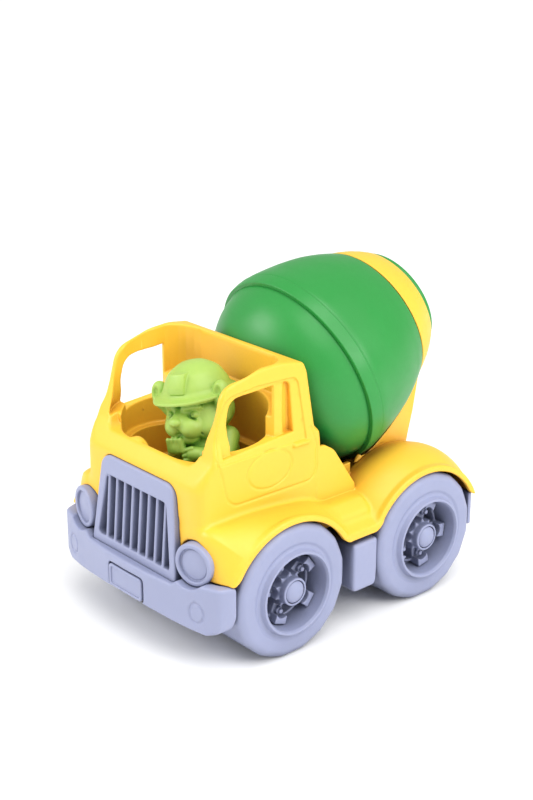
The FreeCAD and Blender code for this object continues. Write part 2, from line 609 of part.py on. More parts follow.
def deck():
    """Floor under the drum, tail panel, and the posts that the chassis screws go into."""
    floor = box(-DECK_X, DECK_X, CAB_BACK_Y - 3, TAIL_Y, DECK_Z - WALL, DECK_Z)
    tail = box(-DECK_X, DECK_X, TAIL_Y - WALL, TAIL_Y, BODY_LOW_Z, DECK_Z)
    posts = []
    for x, y in SCREW_PLACES:
        top = WELL_FLOOR - 1 if y < CAB_BACK_Y else DECK_Z - 1
        post = rod(4.0, V(x, y, CHASSIS_Z + WALL), V(x, y, top))
        posts.append(post.cut(rod(SCREW_R, V(x, y, CHASSIS_Z), V(x, y, CHASSIS_Z + 12))))
    return floor.fuse([tail] + posts)


def steering_wheel():
    """Upper half of a wheel moulded on the well's front ledge, on the driver's side."""
    return rod(9.0, V(-12.0, -80.0, WELL_STEP_Z), V(-12.0, -76.0, WELL_STEP_Z)).common(
        box(-30, 0, -81, -75, WELL_STEP_Z - 1, 110))


def body_shell():
    left = left_side()
    shell = cab_outer()
    for room in (wheel_room(FRONT_AXLE_Y), wheel_room(REAR_AXLE_Y)):
        shell = shell.cut(room).cut(mirror_x(room))
    shell = shell.fuse([left, mirror_x(left)])
    shell = shell.cut(under_cab()).cut(cab_room())
    shell = shell.cut(stadium(WELL_END_R - WELL_STEP, WELL_FLOOR, 160))
    shell = shell.cut(stadium(WELL_END_R, WELL_STEP_Z, 160))
    shell = shell.cut(prism_yz(WINDOW, -60, 60).cut(box(-41.6, 41.6, -90, -10, 100, 140)))
    floor = deck()
    for room in (wheel_room(FRONT_AXLE_Y), wheel_room(REAR_AXLE_Y)):
        floor = floor.cut(room).cut(mirror_x(room))
    shell = shell.fuse([floor, steering_wheel()])
    shell = shell.cut(rod(SPINDLE_R, drum_point(-40.0), drum_point(-20.0))).cut(drum_room())
    shell = shell.cut(grille_envelope())
    for side in (-1, 1):
        shell = shell.cut(headlight_envelope(side))
    return shell.removeSplitter()


DRIVER_Y = -47.6
DRIVER_FOOT_Z = WELL_FLOOR + 0.2
DRIVER_TURN = 13.0          # degrees, facing a little to the truck's left
DRIVER_LEAN = 13.0          # degrees, leaning to its own right
DRIVER_LEAN_Z = 112.0       # height of the head's middle, about which it leans
HAT_BRIM_Z = 121.5
HAT_TOP_Z = 140.0


def driver():
    """One-piece animal figure in a hard hat: plain rounded body, head, ears, snout and arms."""
    spine = V(0, DRIVER_Y, 0)
    trunk = [(DRIVER_FOOT_Z - 6.0, 0), (DRIVER_FOOT_Z - 6.0, 15.0), (84.0, 17.0), (97.0, 16.0),
             (101.0, 13.6), (103.0, 15.0), (108.0, 17.4), (116.0, 18.0), (HAT_BRIM_Z - 1, 17.8),
             (HAT_BRIM_Z - 1, 20.4), (HAT_BRIM_Z + 1, 20.4), (HAT_BRIM_Z + 2, 18.0),
             (129.0, 16.8), (135.0, 12.6), (138.6, 7.4), (HAT_TOP_Z, 0)]
    figure = turned(trunk, spine, Z_AXIS)
    snout = rod(7.0, V(0, DRIVER_Y - 12, 109.5), V(0, DRIVER_Y - 19.5, 108.0))
    brim = rod(17.5, V(0, DRIVER_Y - 5.4, HAT_BRIM_Z - 1), V(0, DRIVER_Y - 5.4, HAT_BRIM_Z + 1))
    arms = Part.makeTorus(14.0, 4.6, V(0, DRIVER_Y - 2.0, 91.0), Z_AXIS)
    ears = [Part.makeSphere(5.2, V(side * 18.4, DRIVER_Y - 4.0, 123.5)) for side in (-1, 1)]
    figure = join(figure, snout, brim, arms, *ears)
    figure.rotate(V(0, DRIVER_Y, DRIVER_LEAN_Z), Y_AXIS, -DRIVER_LEAN)
    figure.rotate(spine, Z_AXIS, DRIVER_TURN)
    return figure.common(box(-40, 40, -90, -10, DRIVER_FOOT_Z, 150))


def main():
    os.makedirs("parts", exist_ok=True)
    export("body_shell", body_shell())
    export("driver", driver())
    export("drum_cradle", drum_cradle())
    export("drum_spindle", drum_spindle())
    export("drum_front_shell", drum_front_shell())
    export("drum_rear_shell", drum_rear_shell())
    export("drum_mouth_flange", drum_mouth_flange())
    export("chassis", chassis())
    export("chassis_screws", chassis_screws())
    export("front_bumper", front_bumper())
    export("number_plate", number_plate())
    export("grille", grille())
    export("rear_bumper", rear_bumper())
    for side, name in ((1, "left"), (-1, "right")):
        export("headlight_" + name, headlight(side))
        export("side_step_" + name, side_step(side))
        for axle_y, end, turn in ((FRONT_AXLE_Y, "front", FRONT_SPOKE_TURN),
                                  (REAR_AXLE_Y, "rear", REAR_SPOKE_TURN)):
            place = "%s_%s" % (end, name)
            export("tyre_" + place, placed_wheel(tyre(), 0.0, axle_y, side))
            export("hub_" + place, placed_wheel(hub(), turn, axle_y, side))
            export("axle_cap_" + place, placed_wheel(axle_cap(), 0.0, axle_y, side))
    export("axle_front", axle(FRONT_AXLE_Y))
    export("axle_rear", axle(REAR_AXLE_Y))


main()
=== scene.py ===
"""A toy cement mixer: moulded pieces shaped as signed distance fields and lathed profiles.

Shapes are worked out in millimetres in the record's frame (+Z up, the truck faces -Y, its left is +X)
and turned into meshes in metres.
"""
import math

import bpy
import numpy as np
import openvdb
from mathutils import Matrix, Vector


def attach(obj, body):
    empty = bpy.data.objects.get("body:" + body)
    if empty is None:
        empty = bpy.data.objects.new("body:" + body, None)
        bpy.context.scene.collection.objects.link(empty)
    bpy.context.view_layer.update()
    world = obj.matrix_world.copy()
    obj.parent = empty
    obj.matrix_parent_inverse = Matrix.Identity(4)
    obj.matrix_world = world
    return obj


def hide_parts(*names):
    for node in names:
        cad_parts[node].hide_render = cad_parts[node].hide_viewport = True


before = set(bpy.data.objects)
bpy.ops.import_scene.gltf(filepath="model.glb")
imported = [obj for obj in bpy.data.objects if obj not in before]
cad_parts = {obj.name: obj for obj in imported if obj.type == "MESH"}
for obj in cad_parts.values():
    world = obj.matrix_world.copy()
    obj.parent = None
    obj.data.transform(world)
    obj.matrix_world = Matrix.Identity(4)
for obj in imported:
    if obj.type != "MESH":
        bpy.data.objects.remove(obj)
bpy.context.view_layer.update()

MM = 0.001
FINE = 1.0

# Driving sizes, millimetres, as in the frame
WHEEL_R = 35.0
FRONT_AXLE_Y = -44.0
REAR_AXLE_Y = 50.0
ARCH_R = 39.6
ARCH_Z = 31.4
FENDER_X = 66.8
SILL_Z = 49.4
WALL = 2.5
DECK_X = 37.2
DECK_Z = 60.0
TAIL_Y = 90.0
BODY_LOW_Z = 47.5
CAB_BACK_Y = -8.2
CAB_IN_X = 44.4             # inside of the cab: side walls, rear wall and rear corners
CAB_IN_Y = -23.4
CAB_CORNER_R = 20.6
HOUSE_IN_X = 34.7           # inner side of the wheel houses
LIP_IN_X = 64.2
RIM_X = 70.0
SPOKES = 5
TYRE_FLATS = 16
AXLE_BORE_R = 2.06
LAMP_X = 44.6               # middle of the bumper's cut for a lamp
LAMP_IN = 1.2               # how far inboard of it the turned lamp sits
LAMP_Z = 56.4
LAMP_SEAT_R = 11.3
LAMP_TURN = 12.0            # degrees
GRILLE_LEAN = 5.0           # degrees
GRILLE_LOW_Y = -93.0
GRILLE_LOW_Z = 41.5
PLATE_Z = 32.7
DRIVER_X = 0.5
DRIVER_Y = -47.6
DRIVER_PIVOT_Z = 112.0      # the figure leans about this height
DRIVER_FOOT_Z = 76.3
DRIVER_TURN = 15.0          # degrees
DRIVER_LEAN = 12.0          # degrees
DRUM_CENTRE = Vector((0, 16.8, 117.2))
TILT = math.radians(19.9)
DRUM_AXIS = Vector((0, math.cos(TILT), math.sin(TILT)))


# Signed distance fields. A field is an array of distances, negative inside.

class Grid:
    """Sample points of a block: x, y and z are arrays that broadcast against each other."""

    def __init__(self, low, high, step):
        self.step = step * FINE
        self.low = np.array(low, float)
        counts = [int(math.ceil((b - a) / self.step)) + 1 for a, b in zip(low, high)]
        self.x, self.y, self.z = (
            (self.low[i] + self.step * np.arange(counts[i], dtype=np.float32)).astype(np.float32)
            for i in range(3))
        self.x = self.x[:, None, None]
        self.y = self.y[None, :, None]
        self.z = self.z[None, None, :]

    def part(self, low, high):
        """The slices of a smaller block, and a grid of its points."""
        sizes = (self.x.size, self.y.size, self.z.size)
        cuts = []
        for i in range(3):
            start = max(0, int((low[i] - self.low[i]) / self.step))
            stop = min(sizes[i], int((high[i] - self.low[i]) / self.step) + 2)
            cuts.append(slice(start, stop))
        piece = object.__new__(Grid)
        piece.step = self.step
        piece.low = self.low + self.step * np.array([c.start for c in cuts])
        piece.x = self.x[cuts[0]]
        piece.y = self.y[:, cuts[1]]
        piece.z = self.z[:, :, cuts[2]]
        return tuple(cuts), piece


def both(a, b, r=0.0):
    """Where a and b overlap, with the new edge rounded to radius r."""
    if not r:
        return np.maximum(a, b)
    u, v = np.maximum(a + r, 0), np.maximum(b + r, 0)
    return np.minimum(-r, np.maximum(a, b)) + np.sqrt(u * u + v * v)


def either(a, b, r=0.0):
    """a and b together, with the corner between them filleted to radius r."""
    return -both(-a, -b, r)


def without(a, b, r=0.0):
    return both(a, -b, r)


def between(values, low, high):
    """Slab from low to high."""
    return np.abs(values - (low + high) / 2) - (high - low) / 2


def soft_block(u, v, half_u, half_v, r):
    """Rectangle of (u, v) half sizes with corners of radius r."""
    a, b = np.abs(u) - (half_u - r), np.abs(v) - (half_v - r)
    outside = np.sqrt(np.maximum(a, 0) ** 2 + np.maximum(b, 0) ** 2)
    return outside + np.minimum(np.maximum(a, b), 0) - r


def ball(g, centre, radii):
    """Ellipsoid, as a close estimate of distance."""
    cx, cy, cz = centre
    rx, ry, rz = radii
    dx, dy, dz = g.x - cx, g.y - cy, g.z - cz
    near = np.sqrt((dx / rx) ** 2 + (dy / ry) ** 2 + (dz / rz) ** 2)
    slope = np.sqrt((dx / rx ** 2) ** 2 + (dy / ry ** 2) ** 2 + (dz / rz ** 2) ** 2)
    return near * (near - 1) / np.maximum(slope, 1e-6)


def capsule(g, a, b, ra, rb=None):
    """Rod with round ends from a to b, whose radius goes from ra to rb."""
    rb = ra if rb is None else rb
    dx, dy, dz = g.x - a[0], g.y - a[1], g.z - a[2]
    ex, ey, ez = (b[i] - a[i] for i in range(3))
    t = np.clip((dx * ex + dy * ey + dz * ez) / (ex * ex + ey * ey + ez * ez), 0, 1)
    far = np.sqrt((dx - t * ex) ** 2 + (dy - t * ey) ** 2 + (dz - t * ez) ** 2)
    return far - (ra + (rb - ra) * t)


def edge_distance(u, v, points, closed=True):
    """Distance to a line of points, and whether each sample is inside it."""
    u, v = np.broadcast_arrays(u, v)
    nearest = np.full(u.shape, 1e9, np.float32)
    inside = np.zeros(u.shape, bool)
    ends = list(zip(points, points[1:] + points[:1])) if closed else list(zip(points, points[1:]))
    for (au, av), (bu, bv) in ends:
        eu, ev = bu - au, bv - av
        du, dv = u - au, v - av
        t = np.clip((du * eu + dv * ev) / (eu * eu + ev * ev), 0, 1)
        nearest = np.minimum(nearest, (du - t * eu) ** 2 + (dv - t * ev) ** 2)
        if ev:
            inside ^= ((av <= v) != (bv <= v)) & (u < au + dv * (eu / ev))
    return np.sqrt(nearest), inside


def outline(u, v, points):
    """Signed distance to a closed outline of (u, v) points."""
    far, inside = edge_distance(u, v, points)
    return np.where(inside, -far, far)


def rounded(points, radius=0.0):
    """Outline with rounded corners. A point may carry its own radius as a third number."""
    made = []
    for i, point in enumerate(points):
        here = Vector(point[:2])
        r = point[2] if len(point) > 2 else radius
        a = Vector(points[i - 1][:2]) - here
        b = Vector(points[(i + 1) % len(points)][:2]) - here
        half = a.angle(b) / 2
        if not r or half > 1.5:
            made.append(tuple(here))
            continue
        reach = min(r / math.tan(half), 0.48 * min(a.length, b.length))
        r = reach * math.tan(half)
        middle = here + (a.normalized() + b.normalized()).normalized() * (r / math.sin(half))
        start, stop = here + a.normalized() * reach - middle, here + b.normalized() * reach - middle
        turn = start.angle_signed(stop)
        count = max(2, int(abs(turn) / 0.25) + 1)
        for k in range(count + 1):
            angle = -turn * k / count
            c, s = math.cos(angle), math.sin(angle)
            made.append((middle.x + c * start.x - s * start.y, middle.y + s * start.x + c * start.y))
    return made


def smooth_line(points, count=6):
    """Points along a smooth curve through the given ones."""
    p = [2 * Vector(points[0]) - Vector(points[1])] + [Vector(q) for q in points]
    p.append(2 * p[-1] - p[-2])
    made = []
    for a, b, c, d in zip(p, p[1:], p[2:], p[3:]):
        for k in range(count):
            t = k / count
            q = 0.5 * (2 * b + (c - a) * t + (2 * a - 5 * b + 4 * c - d) * t * t
                       + (3 * b - a - 3 * c + d) * t ** 3)
            made.append(tuple(q))
    return made + [tuple(p[-2])]


def drum_frame(g):
    """Distance along the drum's axis and from it."""
    dy, dz = g.y - DRUM_CENTRE.y, g.z - DRUM_CENTRE.z
    along = dy * DRUM_AXIS.y + dz * DRUM_AXIS.z
    across = dz * DRUM_AXIS.y - dy * DRUM_AXIS.z
    return along + 0 * g.x, np.sqrt(across ** 2 + g.x ** 2)


# From fields to meshes

def sample(g, field, points):
    """The field's values at points, by linear interpolation."""
    place = (points - g.low) / g.step
    place = np.clip(place, 0, np.array(field.shape) - 1.001)
    cell = place.astype(int)
    part = place - cell
    total = 0.0
    for i in (0, 1):
        for j in (0, 1):
            for k in (0, 1):
                weight = (abs(1 - i - part[:, 0]) * abs(1 - j - part[:, 1]) * abs(1 - k - part[:, 2]))
                total = total + weight * field[cell[:, 0] + i, cell[:, 1] + j, cell[:, 2] + k]
    return total


def slope(g, field, points):
    """The field's gradient at points: the way out of the surface."""
    reach = 0.6 * g.step
    parts = []
    for axis in range(3):
        shift = np.zeros(3)
        shift[axis] = reach
        parts.append(sample(g, field, points + shift) - sample(g, field, points - shift))
    way = np.stack(parts, 1)
    return way / np.maximum(np.linalg.norm(way, axis=1, keepdims=True), 1e-9)


def new_piece(name, mesh_parts):
    """Object from (points in millimetres, faces, normals)."""
    points, faces, normals = mesh_parts
    mesh = bpy.data.meshes.new(name)
    mesh.from_pydata((points * MM).tolist(), [], faces)
    mesh.validate()
    mesh.shade_smooth()
    mesh.normals_split_custom_set_from_vertices(normals.tolist())
    piece = bpy.data.objects.new(name, mesh)
    bpy.context.scene.collection.objects.link(piece)
    return piece


def skin(g, field, adapt=0.012):
    """Surface of a field as points, faces and normals, the normals taken from the field."""
    band = 3 * g.step
    field = np.clip(np.broadcast_to(field, (g.x.size, g.y.size, g.z.size)), -band, band)
    grid = openvdb.FloatGrid(band)
    grid.copyFromArray(np.ascontiguousarray(field, np.float32))
    points, triangles, quads = grid.convertToPolygons(isovalue=0.0, adaptivity=adapt)
    points = points.astype(float) * g.step + g.low
    for _ in range(2):
        points = points - slope(g, field, points) * sample(g, field, points)[:, None]
    return points, quads.tolist() + triangles.tolist(), slope(g, field, points)


def weighted_normals(points, faces):
    """Each point's normal as the sum of its faces' normals, the larger faces counting for more."""
    total = np.zeros(points.shape)
    for face in faces:
        corner = points[face]
        way = np.cross(corner[2] - corner[0], corner[-1] - corner[1])
        total[face] += way
    return total / np.maximum(np.linalg.norm(total, axis=1, keepdims=True), 1e-9)


def lathe(profile, centre, axis, around=128, warp=None):
    """Solid of revolution of a closed outline of (along, radius) points.

    warp may move the rings' points: it takes and returns along and radius, and gets the angle
    from the top.
    """
    rings = np.array(profile, float)
    turn = 2 * math.pi * np.arange(around) / around
    along, radius = rings[:, :1] + 0 * turn, rings[:, 1:] + 0 * turn
    if warp:
        along, radius = warp(along, radius, turn)
    axis = np.array(axis, float)
    side = np.array((0, 0, 1.0)) if abs(axis[2]) < 0.9 else np.array((0, 1.0, 0))
    side = side - axis * side.dot(axis)
    side /= np.linalg.norm(side)
    across = np.cross(axis, side)
    points = (np.array(centre, float) + along[..., None] * axis
              + radius[..., None] * (np.cos(turn)[:, None] * side + np.sin(turn)[:, None] * across))
    points = points.reshape(-1, 3)
    on_axis = rings[:, 1] < 1e-6
    index = np.arange(points.shape[0]).reshape(len(rings), around)
    index[on_axis] = index[on_axis][:, :1]
    faces = []
    for i in range(len(rings)):
        here, there = index[i], index[(i + 1) % len(rings)]
        for j in range(around):
            k = (j + 1) % around
            corners = list(dict.fromkeys((here[j], here[k], there[k], there[j])))
            if len(corners) > 2:
                faces.append(corners)
    u, v = rings[:, 0], rings[:, 1]
    if np.sum(u * np.roll(v, -1) - v * np.roll(u, -1)) > 0:
        faces = [face[::-1] for face in faces]
    used, renumbered = np.unique(index, return_inverse=True)
    renumbered = renumbered.reshape(index.shape)
    place = np.zeros(points.shape[0], int)
    place[index.ravel()] = renumbered.ravel()
    faces = [place[face].tolist() for face in faces]
    points = points[used]
    return points, faces, weighted_normals(points, faces)


def flipped_x(mesh_parts):
    """Mirror image across the truck's middle plane."""
    points, faces, normals = mesh_parts
    flip = np.array((-1, 1, 1))
    return points * flip, [face[::-1] for face in faces], normals * flip


def mirrored(field):
    """The whole field of a symmetric piece, from the half at and beyond x = 0."""
    return np.concatenate([field[:0:-1], field], 0)


# Body shell

def axle_distance(g, axle_y, height):
    return np.sqrt((g.y - axle_y) ** 2 + (g.z - height) ** 2)


def cab_block(g):
    """Bonnet, doors and the cab's sides as one solid."""
    side = outline(g.y, g.z, rounded([
        (-86.4, SILL_Z), (-87.8, 78.0), (-87.4, 92.0, 7), (-80.6, 102.0, 9), (-74.0, 108.6, 3),
        (-14.4, 110.6, 3), (-9.2, 105.0, 5), (CAB_BACK_Y, 96.8), (CAB_BACK_Y, SILL_Z)]))
    plan = outline(g.x, g.y, rounded([
        (-60, -88.4), (47.2, -88.4, 13), (48.4, -68.0), (48.4, CAB_BACK_Y + 0.4), (-60, CAB_BACK_Y + 0.4)]))
    front = outline(g.x, g.z, rounded([
        (-60, 30), (46.2, 30), (48.5, 110.8, 6.5), (-60, 110.8)]))
    lower = both(both(side, plan, 3.5), front, 2.0)
    upper_side = outline(g.y, g.z, rounded([
        (-78.2, 90.0), (-77.4, 107.5, 20), (-72.6, 122.0, 30), (-68.4, 139.0, 11), (-47.0, 144.6, 30),
        (-33.0, 145.2, 30), (-19.6, 143.0, 3), (-17.4, 138.0, 6), (-15.8, 126.0), (-13.2, 106.0),
        (-13.0, 90.0)]))
    upper_front = outline(g.x + cab_taper(g), g.z + 0 * g.y, [
        (-60, 80), (41.0, 80), (46.9, 103.0), (47.7, 109.0), (46.0, 138.0), (45.6, 150.0), (-60, 150)])
    return either(lower, both(upper_side, upper_front, 1.3), 2.0), lower


def cab_taper(g):
    """How much the cab's upper sides draw in towards the front pillars."""
    ahead = np.clip((-22.0 - g.y) / 50.0, 0, 1.1)
    rise = np.clip((g.z - 103.0) / 14.0, 0, 1)
    return 3.3 * ahead * rise * rise * (3 - 2 * rise)


def cab_space(g):
    """Room above the slanting ledge, open above and between the front pillars."""
    plan = outline(g.x + cab_taper(g) + 0 * g.z, g.y, rounded([
        (-60, -78.4), (CAB_IN_X, -78.4, 12), (CAB_IN_X, CAB_IN_Y, CAB_CORNER_R), (-60, CAB_IN_Y)]))
    ledge = outline(g.y, g.z, [(-78.0, 160), (-78.0, 105.9), (-77.0, 106.2), (-23.0, 122.9),
                               (-24.6, 147.0), (-24.6, 160)])
    walls = outline(g.x + cab_taper(g), g.z + 0 * g.y, [
        (-60, 90), (CAB_IN_X, 90), (CAB_IN_X, 109), (43.0, 138), (43.0, 160), (-60, 160)])
    screen = outline(g.x, g.z, rounded([(-60, 100.9), (33.6, 100.9, 6), (36.8, 109, 8), (37.6, 121, 20),
                                        (39.2, 138), (39.2, 160), (-60, 160)]))
    rear = both(both(ledge, plan, 0.8), walls)
    return either(rear, both(screen, g.y + 73.5), 0.8)


def well(g, end_r, floor):
    """Stadium-shaped hole across the cab."""
    plan = np.sqrt(np.maximum(np.abs(g.x) - 15.5, 0) ** 2 + (g.y + 52.0) ** 2) - end_r
    return both(plan, floor - g.z, 1.2)


def front_fender(g):
    """Loft from the crease on the bonnet's side to the round arch lip."""
    crease = smooth_line([(-86.8, 44), (-87.2, 60), (-86.4, 69.6), (-82.6, 74.0), (-71.6, 74.8),
                          (-58.7, 74.9), (-45.3, 74.0), (-35.7, 73.0), (-20.5, 70.6), (-9.0, 65.4),
                          (-2.4, 57.4), (0.6, 44)])
    inner = outline(g.y, g.z, crease)
    lip = axle_distance(g, FRONT_AXLE_Y, ARCH_Z) - 41.4
    share = np.clip((g.x - 46) / 20.8, 0, 1.05) ** 2
    return both(inner * (1 - share) + lip * share, g.x - 66.4, 1.2)


def rear_fender(g):
    crown = 49.2 - 0.0205 * (g.x - 46) ** 2
    return both(axle_distance(g, REAR_AXLE_Y, ARCH_Z) - crown, g.x - 66.4, 1.2)


def arch_lip(g, axle_y):
    rim = axle_distance(g, axle_y, ARCH_Z)
    return both(between(rim, ARCH_R - 2, 42.9), between(g.x, 63.6, FENDER_X), 1.1)


def below_body(g):
    """What lies under the body's lower edge, in side view: the arches and the sill line."""
    arches = np.minimum(axle_distance(g, FRONT_AXLE_Y, ARCH_Z),
                        axle_distance(g, REAR_AXLE_Y, ARCH_Z)) - ARCH_R
    sill = g.z - np.where(g.y < 60, SILL_Z, 48.2)
    return either(arches, sill, 4.0)


def board(g):
    """Running board between the arches: a rounded tread over a flange."""
    tread = outline(g.x, g.z, rounded([(20, 48), (20, 66.3), (55.0, 66.3, 6), (61.2, 61.0, 4),
                                       (61.8, 48)]))
    tread = both(tread, between(g.y, -16.0, 14.2), 3.0)
    flange = outline(g.x, g.z, rounded([(20, 44), (20, 57.4), (61.0, 57.4, 3), (66.8, 53.8, 1.2),
                                        (66.8, 44)]))
    return either(tread, both(flange, between(g.y, -16.0, 18.0)), 1.6)


def board_hollow(g):
    room = outline(g.x, g.z, [(39.8, 40), (39.8, 62.6), (55.0, 62.6), (58.4, 55.0), (64.3, 52.0),
                              (64.3, 40)])
    return both(room, between(g.y, -15.0, 11.8), 1.0)


def quarter(g):
    """Side wall behind the cab, falling to the running board, and the patch inside it."""
    side = outline(g.y, g.z, rounded([(-12, 50), (-12, 96.6), (-6.0, 96.4, 4), (0.4, 92.4, 9),
                                      (15.6, 69.6, 4), (16.4, 58.0), (16.4, 50)]))
    panel = both(side, between(g.x, 44.9, 47.5), 0.7)
    patch = both(outline(g.y, g.z, [(-12, 48), (-12, 76.2), (22.2, 76.2), (22.2, 48)]),
                 between(g.x, DECK_X - WALL, DECK_X), 0.4)
    return np.minimum(panel, patch)


def drum_clearance(g):
    along, far = drum_frame(g)
    return outline(along, far, [(-31.5, -5), (-31.5, 20), (-28.6, 34), (-20.8, 43.3), (-10.8, 49.9),
                                (-0.8, 53.9), (0, 55.8), (5, 56.6), (12, 55.8), (36, 50.5),
                                (54, 42.8), (90, 20), (90, -5)])


def surface_groove(field, path, width):
    """Cut a round groove where a side-view path falls on the field's surface."""
    return np.maximum(field, width - np.sqrt(path ** 2 + (field * 1.3) ** 2))


def door_lines(g):
    """Distance, in side view, from the door's engraved outline, its oval and the window's frame."""
    door = rounded([(-76.0, 106.2), (-72.8, 96.2, 8), (-69.2, 80.7, 9), (-11.6, 80.1, 7),
                    (-12.2, 98.0, 14), (-16.4, 109.0)])
    line, _ = edge_distance(g.y, g.z, door, closed=False)
    oval = np.sqrt(((g.y + 43.0) / 14.2) ** 2 + ((g.z - 93.6) / 9.7) ** 2)
    return line, np.abs(oval - 1) * 11.0


def body_half(g):
    cab, lower = cab_block(g)
    front, rear, tread = front_fender(g), rear_fender(g), board(g)
    shell = either(cab, front, 2.4)
    shell = either(shell, tread, 2.6)
    shell = either(shell, rear, 2.6)
    for axle_y in (FRONT_AXLE_Y, REAR_AXLE_Y):
        shell = either(shell, arch_lip(g, axle_y), 1.4)
    # hollow it
    tub = np.minimum(well(g, 25.5, 73.5), well(g, 29.5, 90.5))
    under = both(both(lower + WALL, g.z - 92.0, 2.0), g.y - CAB_BACK_Y)
    shell = without(shell, without(under, tub, 1.0), 0.5)
    shell = without(shell, both(both(front + 2.3, g.x - LIP_IN_X), HOUSE_IN_X - g.x), 0.5)
    rear_room = both(both(rear + 2.4, g.x - LIP_IN_X), g.y - 88.5)
    shell = without(shell, both(rear_room, HOUSE_IN_X - g.x), 0.5)
    shell = without(shell, board_hollow(g))
    shell = np.minimum(shell, quarter(g))
    # deck, tail and the low inner part of the rear wheel house
    low_r = axle_distance(g, REAR_AXLE_Y, WHEEL_R)
    house = both(low_r - 40.0, between(g.x, 23.0, DECK_X), 0.8)
    house = np.minimum(house, both(axle_distance(g, REAR_AXLE_Y, ARCH_Z) - 47.2,
                                   between(g.x, DECK_X - WALL, DECK_X), 0.5))
    house = both(both(house, BODY_LOW_Z - g.z), g.y - TAIL_Y)
    floor = both(both(between(g.z, DECK_Z - WALL, DECK_Z), between(g.y, -11.0, TAIL_Y)), g.x - DECK_X, 0.4)
    tail = both(both(between(g.y, TAIL_Y - WALL, TAIL_Y), between(g.z, BODY_LOW_Z, DECK_Z)),
                g.x - DECK_X, 0.4)
    shell = either(either(shell, house, 1.2), np.minimum(floor, tail), 1.2)
    # openings
    low_cut = both(both(low_r - 37.0, 25.5 - g.x), g.x - 36.0)
    shell = without(shell, low_cut, 0.4)
    shell = without(shell, both(below_body(g), HOUSE_IN_X - g.x), 0.8)
    front_room = both(both(axle_distance(g, FRONT_AXLE_Y, WHEEL_R) - 37.0, 25.5 - g.x), g.x - 36.0)
    shell = without(shell, front_room)
    shell = without(shell, cab_space(g), 0.9)
    shell = without(shell, np.minimum(well(g, 27.0, 93.0), well(g, 23.0, 76.0)), 0.8)
    return both(shell, BODY_LOW_Z - g.z)


def cut_windows(g, shell):
    """Cut each side window and its sunk frame; behind y = -39 only a recess over the cab's corner."""
    wide = outline(g.y, g.z, rounded([(-75.2, 103.5), (-73.4, 116.0, 20), (-67.8, 134.6, 10),
                                      (-48.0, 136.8, 30), (-23.8, 136.8, 5), (-19.4, 103.5)]))
    face_x = 47.8 - (g.z - 109.0) * 0.062 - cab_taper(g)
    frame_cut = both(wide, face_x - 0.9 - g.x, 0.3)
    shell = without(shell, frame_cut, 0.35)
    outer = outline(g.y, g.z, rounded([(-71.4, 106.0), (-69.6, 120.0, 14), (-64.6, 130.8, 7),
                                       (-28.2, 132.2, 3), (-27.0, 109.0)]))
    inner = outline(g.y, g.z, rounded([(-65.4, 106.0), (-66.6, 122.0, 12), (-64.0, 133.0, 7),
                                       (-28.2, 135.4, 3), (-27.0, 109.0)]))
    past_centre = g.y - (CAB_IN_Y - CAB_CORNER_R)
    bend = np.sqrt(np.maximum(CAB_CORNER_R ** 2 - past_centre ** 2, 0))
    corner = CAB_IN_X - CAB_CORNER_R + 4.0 + bend - cab_taper(g)
    behind = np.clip((g.y + 39.0) / 1.5, 0, 1)
    inner_end = 38.0 + (np.clip(corner, 42.4, 44.3) - 38.0) * behind
    hole = np.minimum(both(outer, 44.6 - g.x), both(inner, both(inner_end - g.x, g.x - 45.4)))
    return without(shell, hole, 0.8)


def body_shell():
    g = Grid((0, -89.0, 47.0), (67.4, 96.0, 147.4), 0.5)
    shell = body_half(g)
    shell = cut_windows(g, shell)
    cuts, near = g.part((43.0, -80.0, 76.0), (50.0, -8.0, 112.0))
    line, oval = door_lines(near)
    shell[cuts] = surface_groove(surface_groove(shell[cuts], line, 0.8), oval, 0.75)
    handle = capsule(near, (48.2, -27.5, 102.2), (48.2, -18.5, 102.0), 1.1)
    shell[cuts] = either(shell[cuts], handle, 1.0)
    cuts, near = g.part((0, -26.0, 58.0), (48.0, 70.0, 136.0))
    shell[cuts] = without(shell[cuts], drum_clearance(near), 0.4)
    cuts, near = g.part((0, -90.0, 40.0), (58.0, -80.0, 94.0))
    shell[cuts] = without(shell[cuts], grille_block(near, 0.15), 0.4)
    lamp = np.sqrt((near.x - LAMP_X + LAMP_IN) ** 2 + (near.z - LAMP_Z) ** 2) - LAMP_SEAT_R
    shell[cuts] = without(shell[cuts], both(lamp, near.y + 81.0), 0.3)
    whole = mirrored(shell)
    mirror_grid(g)
    cuts, near = g.part((-24.0, -82.0, 90.0), (1.0, -74.0, 104.0))
    wheel = np.sqrt((near.x + 12.0) ** 2 + (near.z - 93.0) ** 2)
    rim = both(wheel - 9.0, between(near.y, -80.0, -76.0), 1.2)
    dish = both(wheel - 6.6, between(near.y, -77.0, -75.0), 0.4)
    whole[cuts] = either(whole[cuts], without(rim, dish, 0.4), 0.7)
    return new_piece("body_moulding", skin(g, whole))


def on_grille(g):
    """Distance behind the grille's leaning face, and up it."""
    lean = math.radians(GRILLE_LEAN)
    back = (g.y - GRILLE_LOW_Y) * math.cos(lean) - (g.z - GRILLE_LOW_Z) * math.sin(lean)
    up = (g.y - GRILLE_LOW_Y) * math.sin(lean) + (g.z - GRILLE_LOW_Z) * math.cos(lean)
    return back, up


def grille_block(g, gap=0.0):
    """Leaning block that the grille fills, a gap larger all round."""
    out, up = on_grille(g)
    face = outline(g.x, up + 0 * g.x, rounded([(-40, -0.0), (34.6, 0.0, 3), (28.9, 50.0, 7), (-40, 50.0)]))
    return both(face - gap, between(out, -gap, 7.0 + gap), 1.2)


# Grille, lamps, bumpers and steps

